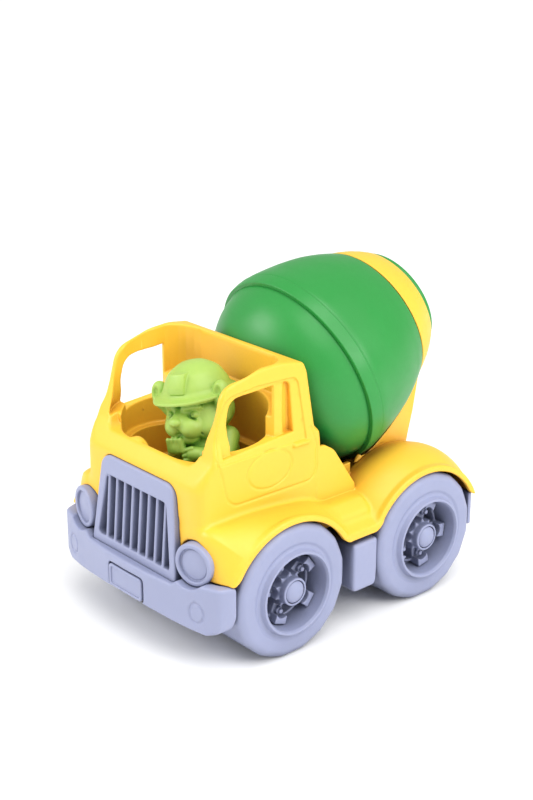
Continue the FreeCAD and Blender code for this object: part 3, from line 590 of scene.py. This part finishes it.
def grille():
    """Frame round a deep opening with eight upright bars that are round in front."""
    g = Grid((0, -94.0, 40.0), (36.0, -80.0, 93.0), 0.4)
    out, up = on_grille(g)
    opening = outline(g.x, up + 0 * g.x, rounded([(-40, 6.7), (29.6, 6.7, 2.0), (24.4, 40.1, 3.0),
                                                  (-40, 40.1)]))
    frame_part = without(grille_block(g), both(opening, out - 6.1), 0.7)
    bars = 1e3
    for i in range(4):
        middle = (2 * i + 1) / 9 * 29.6
        bars = np.minimum(bars, soft_block(g.x - middle, out - 3.9, 0.95, 3.2, 0.9))
    bars = both(bars, between(up, 5.0, 42.0))
    whole = mirrored(either(frame_part, bars, 0.5))
    mirror_grid(g)
    return new_piece("grille_moulding", skin(g, whole))


def mirror_grid(g):
    """Make a grid that starts at x = 0 cover both sides, as mirrored() does for its field."""
    g.low = g.low - np.array([(g.x.size - 1) * g.step, 0, 0])
    g.x = np.concatenate([-g.x[:0:-1], g.x], 0)


def front_bumper():
    g = Grid((0, -99.0, 22.0), (68.0, -79.0, 51.0), 0.5)
    plan = outline(g.x, g.y, rounded([(-40, -97.8), (0, -97.8), (17.2, -97.4), (34.0, -95.9), (46.0, -94.2),
                                      (56.0, -92.0), (63.4, -89.2, 5), (66.9, -80.4, 0.8), (62.5, -80.4),
                                      (58.0, -84.2), (50.0, -87.0), (40.0, -88.0), (-40, -88.0)], 3.0))
    front = outline(g.x, g.z, rounded([(-40, 26.0), (0, 26.0), (30.0, 24.6), (56.0, 23.2, 6),
                                       (63.6, 26.2, 8), (66.9, 34.0, 6), (66.9, 49.2, 2.4), (41.0, 49.2, 3),
                                       (34.0, 44.2, 3), (-40, 44.2)]))
    bar = both(plan, front, 1.5)
    lamp = np.sqrt((g.x - LAMP_X) ** 2 + (g.z - LAMP_Z) ** 2)
    bar = without(bar, lamp - LAMP_SEAT_R + 0 * g.y, 0.7)
    fog = np.sqrt(((g.x - 51.0) * 1.2) ** 2 + (g.z - 34.1) ** 2) - 5.1
    bar = surface_groove(bar, fog, 0.75)
    pocket = both(soft_block(g.x, g.z - PLATE_Z, 14.4, 6.8, 2.4), g.y + 95.3)
    bar = without(bar, pocket, 0.4)
    bar = without(bar, grille_block(g, 0.12), 0.4)
    whole = mirrored(bar)
    mirror_grid(g)
    return new_piece("front_bumper_moulding", skin(g, whole))


def number_plate():
    """Blank plate with a raised border."""
    g = Grid((-15, -98.6, 25.0), (15, -94.8, 40.4), 0.3)
    plate = both(soft_block(g.x, g.z - PLATE_Z, 13.4, 6.1, 2.0), between(g.y, -98.05, -95.5), 0.5)
    field = both(soft_block(g.x, g.z - PLATE_Z, 11.8, 4.7, 1.2), g.y + 97.3)
    plate = without(plate, field, 0.3)
    return new_piece("number_plate_moulding", skin(g, plate))


def headlight():
    """Lamp with a rolled rim and a shallow lens, at the truck's left."""
    profile = rounded([(-1.5, 0), (-1.5, 11.1, 0.3), (9.6, 11.1, 1.5), (9.6, 8.6, 0.9), (7.6, 8.3, 0.35),
                       (8.1, 7.4, 0.5), (8.6, 3.6, 4.0), (8.7, 0)])
    turn = math.radians(LAMP_TURN)
    return lathe(profile, (LAMP_X - LAMP_IN, -81.2, LAMP_Z), (math.sin(turn), -math.cos(turn), 0), 96)


def side_step():
    """Block under the running board, on its tongue from the chassis, at the truck's left."""
    g = Grid((22.0, -3.6, 18.6), (67.6, 15.0, 47.2), 0.6)
    plan = outline(g.y, g.z, rounded([(-2.6, 19.4, 2.4), (13.4, 19.4, 2.8), (14.2, 27.0, 8),
                                      (14.2, 46.2, 1.6), (-2.6, 46.2, 1.6)]))
    block = both(plan, between(g.x, 40.0, 66.4), 1.8)
    tongue = both(both(between(g.y, 1.0, 9.4), between(g.z, 26.0, 42.0), 1.0), between(g.x, 22.5, 50.0))
    return skin(g, either(block, tongue, 1.2))


def rear_bumper():
    g = Grid((0, 85.0, 29.0), (66.0, 96.0, 52.0), 0.5)
    plan = outline(g.x, g.y, rounded([(-20, 94.5), (0, 94.5), (16.0, 94.1), (32.3, 93.0), (49.0, 91.0),
                                      (64.6, 88.4, 1.4), (64.0, 86.2, 0.8), (-20, 86.2)], 2.0))
    bar = both(plan, between(g.z, 30.0, 49.4), 1.3)
    bar = without(bar, both(g.x - DECK_X - 0.3, g.y - TAIL_Y), 0.2)
    seat = both(both(g.x - 22.5, between(g.z, 30.0, 46.0), 0.6), between(g.y, 88.0, 91.5))
    whole = mirrored(np.minimum(bar, seat))
    mirror_grid(g)
    return new_piece("rear_bumper_moulding", skin(g, whole))


# Wheels, each made for the truck's left with x = 0 in its rim's plane, then placed

def scallops(along, radius, turn):
    """Slight flats on the tread that bite into the tyre's shoulders."""
    step = 2 * math.pi / TYRE_FLATS
    off = (np.mod(turn + step / 2, step) - step / 2) / (step / 2)
    radius = np.minimum(radius, WHEEL_R + 0.45 * off ** 2)
    outer = np.clip((radius - 29.0) / 4.0, 0, 1) * np.clip((along + 15.0) / 8.0, 0, 1)
    bite = (1 - off ** 2) * outer
    return along - 0.3 * bite, radius - 0.15 * bite


def tyre():
    profile = rounded([
        (-43.0, 31.9, 0.4), (-43.0, 35.5, 2.8), (-3.0, 35.5, 9.2), (-2.8, 25.8, 2.0), (-3.5, 24.4, 2.0),
        (-2.8, 22.8, 1.0), (-0.1, 21.7, 0.5), (0.0, 20.6, 0.4), (-1.4, 19.9, 1.2),
        (-14.0, 18.6, 0.3), (-14.0, 17.0, 0.2), (-16.0, 17.0, 0.2), (-16.0, 22.0, 0.4), (-8.0, 24.0, 1),
        (-6.6, 28.0, 2), (-7.4, 30.8, 2), (-10.4, 31.9, 2)])
    return lathe(profile, (0, 0, 0), (1, 0, 0), 192, scallops)


def hub():
    """Spokes on a long boss, each scooped out round a stepped stud."""
    g = Grid((-42.0, -21.0, -21.0), (-1.0, 21.0, 21.0), 0.4)
    far = np.sqrt(g.y ** 2 + g.z ** 2)
    ring = both(between(far, 15.6, 19.7), between(g.x, -19.0, -16.0), 0.5)
    ring = either(ring, both(between(far, 15.6, 16.9), between(g.x, -18.0, -12.0), 0.4), 0.4)
    boss = both(far - 7.3, between(g.x, -41.0, -2.4), 0.7)
    wheel = np.minimum(ring, boss)
    cuts, near = g.part((-20.0, -21.0, -21.0), (-3.0, 21.0, 21.0))
    part, far = wheel[cuts], far[0][None]
    turn = np.arctan2(near.z, near.y)
    step = 2 * math.pi / SPOKES
    turn = np.mod(turn + step / 2, step) - step / 2
    along, across = far * np.cos(turn), far * np.sin(turn)
    side = outline(near.x, along, rounded([(-18.0, 4.0), (-18.0, 16.3, 0.5), (-14.2, 16.3, 1.0),
                                           (-13.6, 17.9, 0.4), (-6.8, 18.5, 0.5), (-6.8, 4.0)]))
    arm = both(side, np.abs(across) - (3.3 + 0.08 * np.maximum(along - 11.0, 0)), 0.4)
    part = either(part, arm, 1.0)
    stud = np.sqrt((along - 12.2) ** 2 + across ** 2)
    scoop = np.sqrt((along - 11.4) ** 2 + across ** 2) - 3.9
    part = without(part, both(scoop, -11.6 - near.x), 0.5)
    part = either(part, both(stud - 2.0, between(near.x, -14.0, -9.6), 0.5), 0.3)
    part = np.minimum(part, both(stud - 1.3, between(near.x, -11.0, -8.2), 0.6))
    part = np.minimum(part, np.maximum(far - 7.3, near.x + 5.7) + 0 * part)
    part = without(part, both(far - 6.1, -5.5 - near.x), 0.35)
    wheel[cuts] = part
    bore = np.sqrt(g.y ** 2 + g.z ** 2) - AXLE_BORE_R
    return skin(g, without(wheel, bore + 0 * g.x))


def axle_cap():
    profile = rounded([(-5.2, 2.0), (-5.2, 5.75, 0.3), (-2.9, 5.75, 0.9), (-1.9, 4.7, 2.0),
                       (-1.1, 2.7, 6.0), (-0.8, 0), (-2.6, 0), (-2.6, 2.0)])
    return lathe(profile, (0, 0, 0), (1, 0, 0), 72)


def placed_wheel(name, mesh_parts, degrees, axle_y, side):
    """Turn a wheel's piece about its axle, put it in place, and mirror it for the truck's right."""
    points, faces, normals = mesh_parts
    c, s = math.cos(math.radians(degrees)), math.sin(math.radians(degrees))
    turn = np.array(((1, 0, 0), (0, c, -s), (0, s, c)))
    made = points @ turn.T + np.array((RIM_X, axle_y, WHEEL_R)), faces, normals @ turn.T
    return new_piece(name, made if side > 0 else flipped_x(made))


# Drum and its cradle

def on_drum(profile, around=192):
    return lathe(profile, DRUM_CENTRE, DRUM_AXIS, around)


def drum_front_shell():
    """Dome in front of the seam, its spigot, and the socket for the spindle."""
    outside = smooth_line([(-30.0, 14.0), (-29.9, 20.0), (-29.2, 27.0), (-27.0, 33.6), (-20.0, 42.4),
                           (-10.5, 48.9), (0.0, 52.75)], 8)
    inside = smooth_line([(0.0, 50.2), (-10.0, 46.4), (-18.6, 40.6), (-24.8, 32.8), (-27.2, 24.0),
                          (-27.6, 14.0)], 5)
    profile = ([(-30.0, 4.1)] + outside + [(0.0, 52.1), (5.0, 52.1), (5.0, 50.2)] + inside
               + [(-27.6, 7.0), (-19.0, 7.0), (-19.0, 0), (-22.0, 0), (-22.0, 4.1)])
    return new_piece("drum_dome", on_drum(profile))


def drum_rear_shell():
    """Barrel behind the seam with its raised rim, its shoulder and its neck."""
    rim = rounded([(5.0, 52.4), (5.0, 52.25), (0.0, 52.25, 0.2), (0.0, 54.9, 0.5), (3.4, 55.4, 8),
                   (6.7, 55.48, 0.4), (6.9, 55.1, 0.25), (7.5, 55.25, 0.4)])
    barrel = smooth_line([(7.5, 55.25), (12.0, 54.85), (24.0, 52.7), (36.0, 49.6), (46.0, 45.7),
                          (53.0, 42.2)], 8)
    shoulder = rounded([(53.0, 42.2), (54.3, 41.3, 1.4), (54.6, 38.0, 1), (54.6, 27.2, 0.4),
                        (73.0, 27.2, 0.4), (73.0, 24.8), (52.2, 24.8), (52.2, 36.0, 2)])
    inside = smooth_line([(51.6, 40.2), (36.0, 47.2), (24.0, 50.4), (12.0, 52.5), (5.0, 53.1)], 5)
    return new_piece("drum_barrel", on_drum(rim + barrel[1:] + shoulder[1:] + inside))


def drum_mouth():
    """Rolled lip on the neck's end and the funnel inside it."""
    profile = rounded([(62.0, 22.4, 0.8), (62.0, 24.7), (73.05, 24.7), (73.05, 27.3, 0.2),
                       (72.3, 28.6, 0.4), (72.6, 30.1, 1.4), (75.95, 30.1, 1.6), (75.95, 26.0, 3.0),
                       (74.8, 22.4, 2.2)])
    return new_piece("drum_lip", on_drum(profile))


def cradle_walls(g):
    """Pedestal's side and rear walls, hollow inside, leaning in towards the back."""
    side = outline(g.y, g.z, rounded([
        (22.4, 50), (22.4, 68.0), (34.0, 84.0), (50.0, 120.0), (72.0, 124.0), (83.0, 121.0, 2),
        (79.2, 108.1, 20), (75.9, 90.6, 30), (71.3, 73.7, 30), (69.5, 60), (69.5, 50)]))
    plan_points = [(37.2, 22.4), (34.6, 50.0), (31.5, 72.0), (31.0, 90.0)]
    plan = outline(g.x, g.y, [(-60, 22.4)] + plan_points + [(-60, 90.0)])
    inner = outline(g.x, g.y, [(-60, 18.0), (34.9, 18.0)] + [(x - WALL, y) for x, y in plan_points]
                    + [(-60, 90.0)])
    inner_side = outline(g.y, g.z, [(19.0, 50), (19.0, 93.0), (50.0, 122.0), (72.0, 127.0), (79.4, 122.0),
                                    (76.6, 108.1), (73.3, 90.6), (68.6, 73.7), (66.9, 60), (66.9, 50)])
    block = both(side, plan, 2.2)
    return without(block, both(inner, inner_side, 1.2), 0.5)


def drum_cradle():
    """Pedestal on the deck with the ring that holds the drum's neck, one moulding."""
    g = Grid((0, 21.0, 59.0), (43.0, 96.4, 176.4), 0.5)
    along, far = drum_frame(g)
    walls = without(cradle_walls(g), outline(along, far, [(54.0, -5), (54.0, 41.8), (71.6, 32.7),
                                                          (71.6, -5)]))
    ring = outline(along, far, rounded([
        (54.0, 41.7, 0.5), (58.4, 40.1, 20), (62.8, 38.1, 20), (67.2, 35.6, 20), (71.6, 32.6, 1.0),
        (71.6, 27.7, 0.4), (55.6, 27.7), (55.6, 30.1), (69.2, 30.1), (69.2, 31.4), (62.0, 35.6),
        (55.6, 38.6)]))
    cradle = either(walls, ring, 1.0)
    room = outline(along, far, [
        (-31.5, -5), (-31.5, 20), (-28.6, 34), (-20.8, 43.3), (-10.8, 49.9), (-0.8, 53.9),
        (0, 55.8), (5, 56.6), (12, 55.8), (24, 53.6), (36, 50.5), (46, 46.5), (54.0, 42.1),
        (54.9, 38.8), (54.9, 27.6),
        (71.6, 27.6), (71.6, 34.0), (82, 34.0), (82, -5)])
    cradle = without(cradle, room, 0.3)
    low_house = both(axle_distance(g, REAR_AXLE_Y, WHEEL_R) - 40.2, between(g.x, 22.8, 40.0))
    high_house = both(axle_distance(g, REAR_AXLE_Y, ARCH_Z) - 48.2, between(g.x, 34.5, 40.0))
    cradle = without(cradle, np.minimum(low_house, high_house), 0.2)
    whole = mirrored(both(cradle, DECK_Z - g.z))
    mirror_grid(g)
    return new_piece("drum_cradle_moulding", skin(g, whole))


# Driver: a plain animal in a hard hat, turned a little to its left

class Turned:
    """A grid seen from the driver's own frame: x to its left, -y ahead of it, z up its leaning spine."""

    def __init__(self, g, x, y, z, turn, lean):
        c, s = math.cos(math.radians(turn)), math.sin(math.radians(turn))
        left = (g.x - x) * c + (g.y - y) * s
        self.y = (g.y - y) * c - (g.x - x) * s + 0 * g.z
        c, s = math.cos(math.radians(lean)), math.sin(math.radians(lean))
        self.x = left * c + (g.z - z) * s
        self.z = z + (g.z - z) * c - left * s


def pair(make, x, *rest):
    """make() at +x and -x."""
    return np.minimum(make(x, *rest), make(-x, *rest))


def driver_head(f):
    head = ball(f, (0, 0, 112.4), (17.6, 16.4, 12.8))
    head = either(head, pair(lambda x: ball(f, (x, -7.6, 106.8), (8.2, 8.2, 6.4)), 8.4), 3.0)
    lips = pair(lambda x: ball(f, (x, -14.4, 108.6), (6.2, 7.4, 6.2)), 4.4)
    bridge = capsule(f, (0, -13.2, 116.2), (0, -19.6, 112.6), 3.5, 3.3)
    lips = either(lips, bridge, 2.5)
    head = either(head, lips, 1.0)
    head = either(head, ball(f, (0, -22.0, 112.4), (3.5, 2.2, 2.3)), 0.6)
    head = either(head, ball(f, (0, -13.6, 102.6), (6.4, 5.2, 3.8)), 0.8)
    lip_line = capsule(f, (0, -22.6, 109.6), (0, -21.4, 106.6), 0.5)
    mouth = ball(f, (0, -21.0, 105.4), (2.6, 3.0, 1.3))
    head = without(head, np.minimum(lip_line, mouth), 0.7)
    jowl = pair(lambda x: capsule(f, (x * 0.62, -16.6, 112.4), (x * 1.06, -14.4, 104.6), 0.5), 9.6)
    head = without(head, jowl, 0.9)
    brow = pair(lambda x: capsule(f, (x * 0.4, -16.2, 118.2), (x * 1.3, -13.2, 118.0), 1.6, 1.3), 7.6)
    head = either(head, brow, 1.6)
    socket = pair(lambda x: ball(f, (x, -16.2, 114.4), (3.0, 1.5, 2.8)), 7.3)
    head = without(head, socket, 0.6)
    head = either(head, pair(lambda x: ball(f, (x, -13.8, 114.4), (2.3, 2.7, 2.2)), 7.3), 0.2)
    return without(head, pair(lambda x: ball(f, (x, -16.8, 114.5), (0.8, 0.9, 0.8)), 7.2), 0.3)


def driver_hat(f):
    around = np.sqrt(f.x ** 2 + f.y ** 2)
    dome = outline(around, f.z, rounded([(-30, 119.5), (17.6, 119.5), (17.0, 126.5, 9), (13.0, 133.6, 9),
                                         (6.0, 138.0, 14), (0, 138.6), (-30, 138.6)]))
    ahead = np.clip(-f.y / 18.0, 0, 1.2)
    reach = np.where(f.y < 0, 21.0 + 2.2 * ahead ** 2, 21.0 - 1.0 * np.clip(f.y / 18.0, 0, 1))
    level = 122.4 - 0.03 * np.clip(around - 16.0, 0, 8) ** 1.5
    brim = both(around - reach, np.abs(f.z - level) - 0.8, 0.6)
    hat = either(dome, brim, 3.2)
    panel = soft_block(f.x - 0.6, f.z - 130.0, 4.6, 5.0, 0.8)
    front = both(around - 18.0 + 0.22 * np.clip(f.z - 128.0, 0, 8) ** 1.3, f.y + 6.0)
    return either(hat, both(panel, front, 0.5), 0.35)


def driver_ears(f):
    ear = pair(lambda x: ball(f, (x, -5.4, 122.8), (4.6, 4.6, 6.6)), 19.4)
    root = pair(lambda x: capsule(f, (x * 0.78, -2.0, 111.0), (x, -5.0, 119.0), 4.2, 3.8), 19.4)
    ear = either(ear, root, 2.4)
    hollow = pair(lambda x: ball(f, (x * 1.01, -10.2, 124.6), (2.0, 2.6, 3.6)), 19.4)
    return without(ear, hollow, 1.0)


def driver_body(f):
    trunk = ball(f, (0, 0, 91.0), (16.2, 14.6, 14.5))
    trunk = either(trunk, both(np.sqrt(f.x ** 2 + f.y ** 2) - 15.0, between(f.z, 68.0, 88.0), 2.0), 3.0)
    upper = pair(lambda x: capsule(f, (x, 1.0, 98.0), (x * 1.16, -6.6, 90.6), 5.6, 4.6), 13.4)
    lower_arm = capsule(f, (14.6, -8.0, 90.4), (2.6, -15.8, 94.6), 4.3, 3.8)
    raised = capsule(f, (-14.6, -8.0, 90.6), (-5.6, -16.6, 97.0), 4.3, 3.7)
    body = either(trunk, upper, 2.0)
    body = either(body, lower_arm, 0.7)
    body = either(body, raised, 0.7)
    body = either(body, ball(f, (-4.6, -18.2, 98.4), (4.8, 3.2, 3.8)), 0.9)
    for i in range(4):
        x = -8.2 + 2.4 * i
        body = either(body, capsule(f, (x, -19.4, 97.2), (x + 0.7, -20.6 + 0.3 * i, 103.0), 1.5, 1.2), 0.8)
    for i in range(3):
        low = 97.6 - 2.5 * i
        body = either(body, capsule(f, (3.6, -17.2, low), (-0.6, -18.8, low - 0.6), 1.35), 0.3)
    return either(body, capsule(f, (9.6, -12.6, 92.2), (9.1, -12.9, 92.4), 4.7), 0.4)


def driver():
    g = Grid((-27.0, -74.5, 75.6), (27.0, -26.0, 141.0), 0.4)
    f = Turned(g, DRIVER_X, DRIVER_Y, DRIVER_PIVOT_Z, DRIVER_TURN, DRIVER_LEAN)
    figure = either(driver_body(f), driver_head(f), 0.9)
    figure = either(figure, driver_ears(f), 1.0)
    figure = np.minimum(figure, driver_hat(f))
    return new_piece("driver_figure", skin(g, both(figure, DRIVER_FOOT_Z - g.z, 0.5), 0.008))


# Materials. Sizes in the node trees are metres of object space.

def plastic(name, colour, deep, painted_shade, rough=0.42, grain=0.05, soft=0.04, swirl=0.5):
    """Moulded plastic: faint flow marks in the colour, fine grain, and patchy gloss.

    colour and deep are its two tones, and in gaps and corners an ambient-occlusion mask paints shade over
    them in the third colour.
    """
    material = bpy.data.materials.new(name)
    material.use_nodes = True
    tree = material.node_tree
    nodes, link = tree.nodes, tree.links.new
    shader = nodes["Principled BSDF"]
    place = nodes.new("ShaderNodeTexCoord").outputs["Object"]

    def noise(scale, detail, distortion=0.0):
        node = nodes.new("ShaderNodeTexNoise")
        node.inputs["Scale"].default_value = scale
        node.inputs["Detail"].default_value = detail
        node.inputs["Distortion"].default_value = distortion
        link(place, node.inputs["Vector"])
        return node.outputs["Fac"]

    def spread(value, low, high, to_low, to_high):
        node = nodes.new("ShaderNodeMapRange")
        for socket, number in zip(("From Min", "From Max", "To Min", "To Max"),
                                  (low, high, to_low, to_high)):
            node.inputs[socket].default_value = number
        link(value, node.inputs["Value"])
        return node.outputs["Result"]

    def blend(share, a, b):
        node = nodes.new("ShaderNodeMix")
        node.data_type = "RGBA"
        link(share, node.inputs["Factor"])
        for socket, value in (("A", a), ("B", b)):
            socket = next(i for i in node.inputs if i.name == socket and i.type == "RGBA")
            if isinstance(value, tuple):
                socket.default_value = (*value, 1)
            else:
                link(value, socket)
        return next(o for o in node.outputs if o.type == "RGBA")

    flow = spread(noise(14, 3, 1.6), 0.3, 0.7, 0.0, swirl)
    fleck = spread(noise(420, 2), 0.35, 0.65, 0.0, 0.25)
    # Painted shade: an ambient-occlusion mask darkens the colour towards the third colour in gaps and
    # corners.
    painted_shade_ao = nodes.new("ShaderNodeAmbientOcclusion")
    painted_shade_ao.inputs["Distance"].default_value = 0.03
    painted_shade_ao.samples = 6
    tint = blend(fleck, blend(flow, colour, deep), blend(flow, deep, colour))
    unshaded_share = spread(painted_shade_ao.outputs["AO"], 0.12, 0.62, 0.0, 1.0)
    # painted shade blended in where the ambient-occlusion mask is low
    link(blend(unshaded_share, painted_shade, tint), shader.inputs["Base Color"])
    link(spread(noise(55, 4, 0.5), 0.3, 0.7, rough - 0.06, rough + 0.08), shader.inputs["Roughness"])
    bump = nodes.new("ShaderNodeBump")
    bump.inputs["Strength"].default_value = grain
    bump.inputs["Distance"].default_value = 0.0004
    link(noise(1500, 3), bump.inputs["Height"])
    waves = nodes.new("ShaderNodeBump")
    waves.inputs["Strength"].default_value = 0.10
    waves.inputs["Distance"].default_value = 0.0006
    link(noise(45, 2), waves.inputs["Height"])
    link(bump.outputs["Normal"], waves.inputs["Normal"])
    link(waves.outputs["Normal"], shader.inputs["Normal"])
    shader.inputs["IOR"].default_value = 1.49
    shader.inputs["Subsurface Weight"].default_value = soft
    shader.inputs["Subsurface Scale"].default_value = 0.004
    shader.inputs["Subsurface Radius"].default_value = (1.0, 0.7, 0.4)
    return material


def steel():
    """Drawn steel rod with faint lengthwise marks."""
    material = bpy.data.materials.new("drawn_steel")
    material.use_nodes = True
    tree = material.node_tree
    shader = tree.nodes["Principled BSDF"]
    place = tree.nodes.new("ShaderNodeTexCoord")
    stretch = tree.nodes.new("ShaderNodeMapping")
    stretch.inputs["Scale"].default_value = (30, 2500, 2500)
    marks = tree.nodes.new("ShaderNodeTexNoise")
    marks.inputs["Scale"].default_value = 1.0
    rough = tree.nodes.new("ShaderNodeMapRange")
    rough.inputs["To Min"].default_value = 0.25
    rough.inputs["To Max"].default_value = 0.5
    tone = tree.nodes.new("ShaderNodeValToRGB")
    tone.color_ramp.elements[0].color = (0.30, 0.30, 0.32, 1)
    tone.color_ramp.elements[1].color = (0.58, 0.58, 0.60, 1)
    tree.links.new(place.outputs["Object"], stretch.inputs["Vector"])
    tree.links.new(stretch.outputs["Vector"], marks.inputs["Vector"])
    tree.links.new(marks.outputs["Fac"], rough.inputs["Value"])
    tree.links.new(marks.outputs["Fac"], tone.inputs["Fac"])
    tree.links.new(tone.outputs["Color"], shader.inputs["Base Color"])
    tree.links.new(rough.outputs["Result"], shader.inputs["Roughness"])
    shader.inputs["Metallic"].default_value = 1.0
    return material


# The third colour given to each plastic is its painted shade. GREY's is the darkest, to paint deep shade in
# the grille's slots; WHEEL_GREY is nearly the same grey with a lighter painted shade.
YELLOW = plastic("yellow_plastic", (0.95, 0.55, 0.045), (0.92, 0.50, 0.035), (0.40, 0.15, 0.012))
GREY = plastic("blue_grey_plastic", (0.315, 0.34, 0.50), (0.28, 0.305, 0.455), (0.07, 0.08, 0.13),
               rough=0.46)
WHEEL_GREY = plastic("wheel_plastic", (0.305, 0.33, 0.49), (0.27, 0.295, 0.44), (0.13, 0.145, 0.22),
                     rough=0.48)
GREEN = plastic("green_plastic", (0.020, 0.275, 0.045), (0.015, 0.235, 0.035), (0.002, 0.05, 0.012),
                rough=0.40, grain=0.09)
LIME = plastic("lime_plastic", (0.38, 0.55, 0.11), (0.33, 0.51, 0.085), (0.13, 0.36, 0.03),
               rough=0.44, soft=0.12)
SPINDLE = plastic("spindle_plastic", (0.20, 0.21, 0.25), (0.17, 0.18, 0.22), (0.05, 0.05, 0.07))
STEEL = steel()


def finish(piece, material, slot, body, *nodes):
    """Give a piece its material, its body and the CAD nodes it stands for; slot is not used."""
    piece.data.materials.clear()
    piece.data.materials.append(material)
    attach(piece, body)
    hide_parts(*nodes)


def plain(node, material):
    """Keep a CAD node, with a better material."""
    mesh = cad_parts[node].data
    mesh.materials.clear()
    mesh.materials.append(material)


finish(body_shell(), YELLOW, "body_yellow", "truck", "body_shell")
finish(drum_cradle(), YELLOW, "body_yellow", "truck", "drum_cradle")
finish(grille(), GREY, "trim_grey", "truck", "grille")
finish(front_bumper(), GREY, "trim_grey", "truck", "front_bumper")
finish(number_plate(), GREY, "trim_grey", "truck", "number_plate")
finish(rear_bumper(), GREY, "trim_grey", "truck", "rear_bumper")
finish(drum_front_shell(), GREEN, "drum_green", "drum", "drum_front_shell")
finish(drum_rear_shell(), GREEN, "drum_green", "drum", "drum_rear_shell")
finish(drum_mouth(), GREEN, "drum_green", "drum", "drum_mouth_flange")
finish(driver(), LIME, "driver_lime", "driver", "driver")

lamp, step = headlight(), side_step()
for side, mesh_of in (("left", lambda m: m), ("right", flipped_x)):
    finish(new_piece("headlight_moulding_" + side, mesh_of(lamp)), GREY, "trim_grey", "truck",
           "headlight_" + side)
    finish(new_piece("side_step_moulding_" + side, mesh_of(step)), GREY, "trim_grey", "truck",
           "side_step_" + side)

tyre_mesh, hub_mesh, cap_mesh = tyre(), hub(), axle_cap()
for side, sign in (("left", 1), ("right", -1)):
    for end, axle_y, turn in (("front", FRONT_AXLE_Y, 34.5), ("rear", REAR_AXLE_Y, -8.0)):
        at = end + "_" + side
        finish(placed_wheel("tyre_moulding_" + at, tyre_mesh, 0.0, axle_y, sign), WHEEL_GREY,
               "wheel_grey", "wheel_" + at, "tyre_" + at)
        finish(placed_wheel("hub_moulding_" + at, hub_mesh, turn, axle_y, sign), WHEEL_GREY,
               "wheel_grey", "wheel_" + at, "hub_" + at)
        finish(placed_wheel("axle_cap_moulding_" + at, cap_mesh, turn, axle_y, sign), WHEEL_GREY,
               "wheel_grey", "truck", "axle_cap_" + at)

plain("chassis", GREY)
plain("drum_spindle", SPINDLE)
for node in ("axle_front", "axle_rear", "chassis_screws"):
    plain(node, STEEL)


# Floor, light and camera

def floor():
    bpy.ops.mesh.primitive_plane_add(size=40)
    plane = bpy.context.object
    plane.name = "floor"
    material = bpy.data.materials.new("white_table")
    material.use_nodes = True
    shader = material.node_tree.nodes["Principled BSDF"]
    shader.inputs["Base Color"].default_value = (0.93, 0.93, 0.93, 1)
    shader.inputs["Roughness"].default_value = 0.7
    shader.inputs["Specular IOR Level"].default_value = 0.2
    plane.data.materials.append(material)


def aimed(thing, place, target=(0, 0, 0.07)):
    thing.location = place
    thing.rotation_euler = (Vector(target) - Vector(place)).to_track_quat("-Z", "Y").to_euler()
    bpy.context.scene.collection.objects.link(thing)


def area_light(name, place, size, watts):
    light = bpy.data.lights.new(name, "AREA")
    light.size = size
    light.energy = watts
    aimed(bpy.data.objects.new(name, light), place)


def lights():
    world = bpy.data.worlds.new("studio")
    bpy.context.scene.world = world
    world.use_nodes = True
    world.node_tree.nodes["Background"].inputs["Color"].default_value = (1.0, 1.0, 1.0, 1)
    world.node_tree.nodes["Background"].inputs["Strength"].default_value = 0.62
    sun = bpy.data.lights.new("wide_soft_light", "SUN")
    sun.energy = 1.9
    sun.angle = math.radians(50)
    aimed(bpy.data.objects.new("wide_soft_light", sun), (0.5, -0.1, 1.0), (0, 0, 0))
    area_light("left_box", (-0.55, -0.9, 0.75), 0.5, 7.0)
    area_light("right_box", (1.1, 0.35, 0.6), 0.5, 6.0)


def camera():
    lens = bpy.data.cameras.new("camera")
    lens.lens = 66.842
    lens.sensor_width = 36
    lens.clip_start = 0.01
    around, above = math.radians(48.685), math.radians(20.3)
    back = Vector((math.sin(around) * math.cos(above), -math.cos(around) * math.cos(above),
                   math.sin(above)))
    eye = bpy.data.objects.new("camera", lens)
    eye.location = (0.5459, -0.4834, 0.3756)
    eye.rotation_euler = (-back).to_track_quat("-Z", "Y").to_euler()
    bpy.context.scene.collection.objects.link(eye)
    bpy.context.scene.camera = eye


bpy.context.scene.view_settings.view_transform = "Standard"
floor()
lights()
camera()
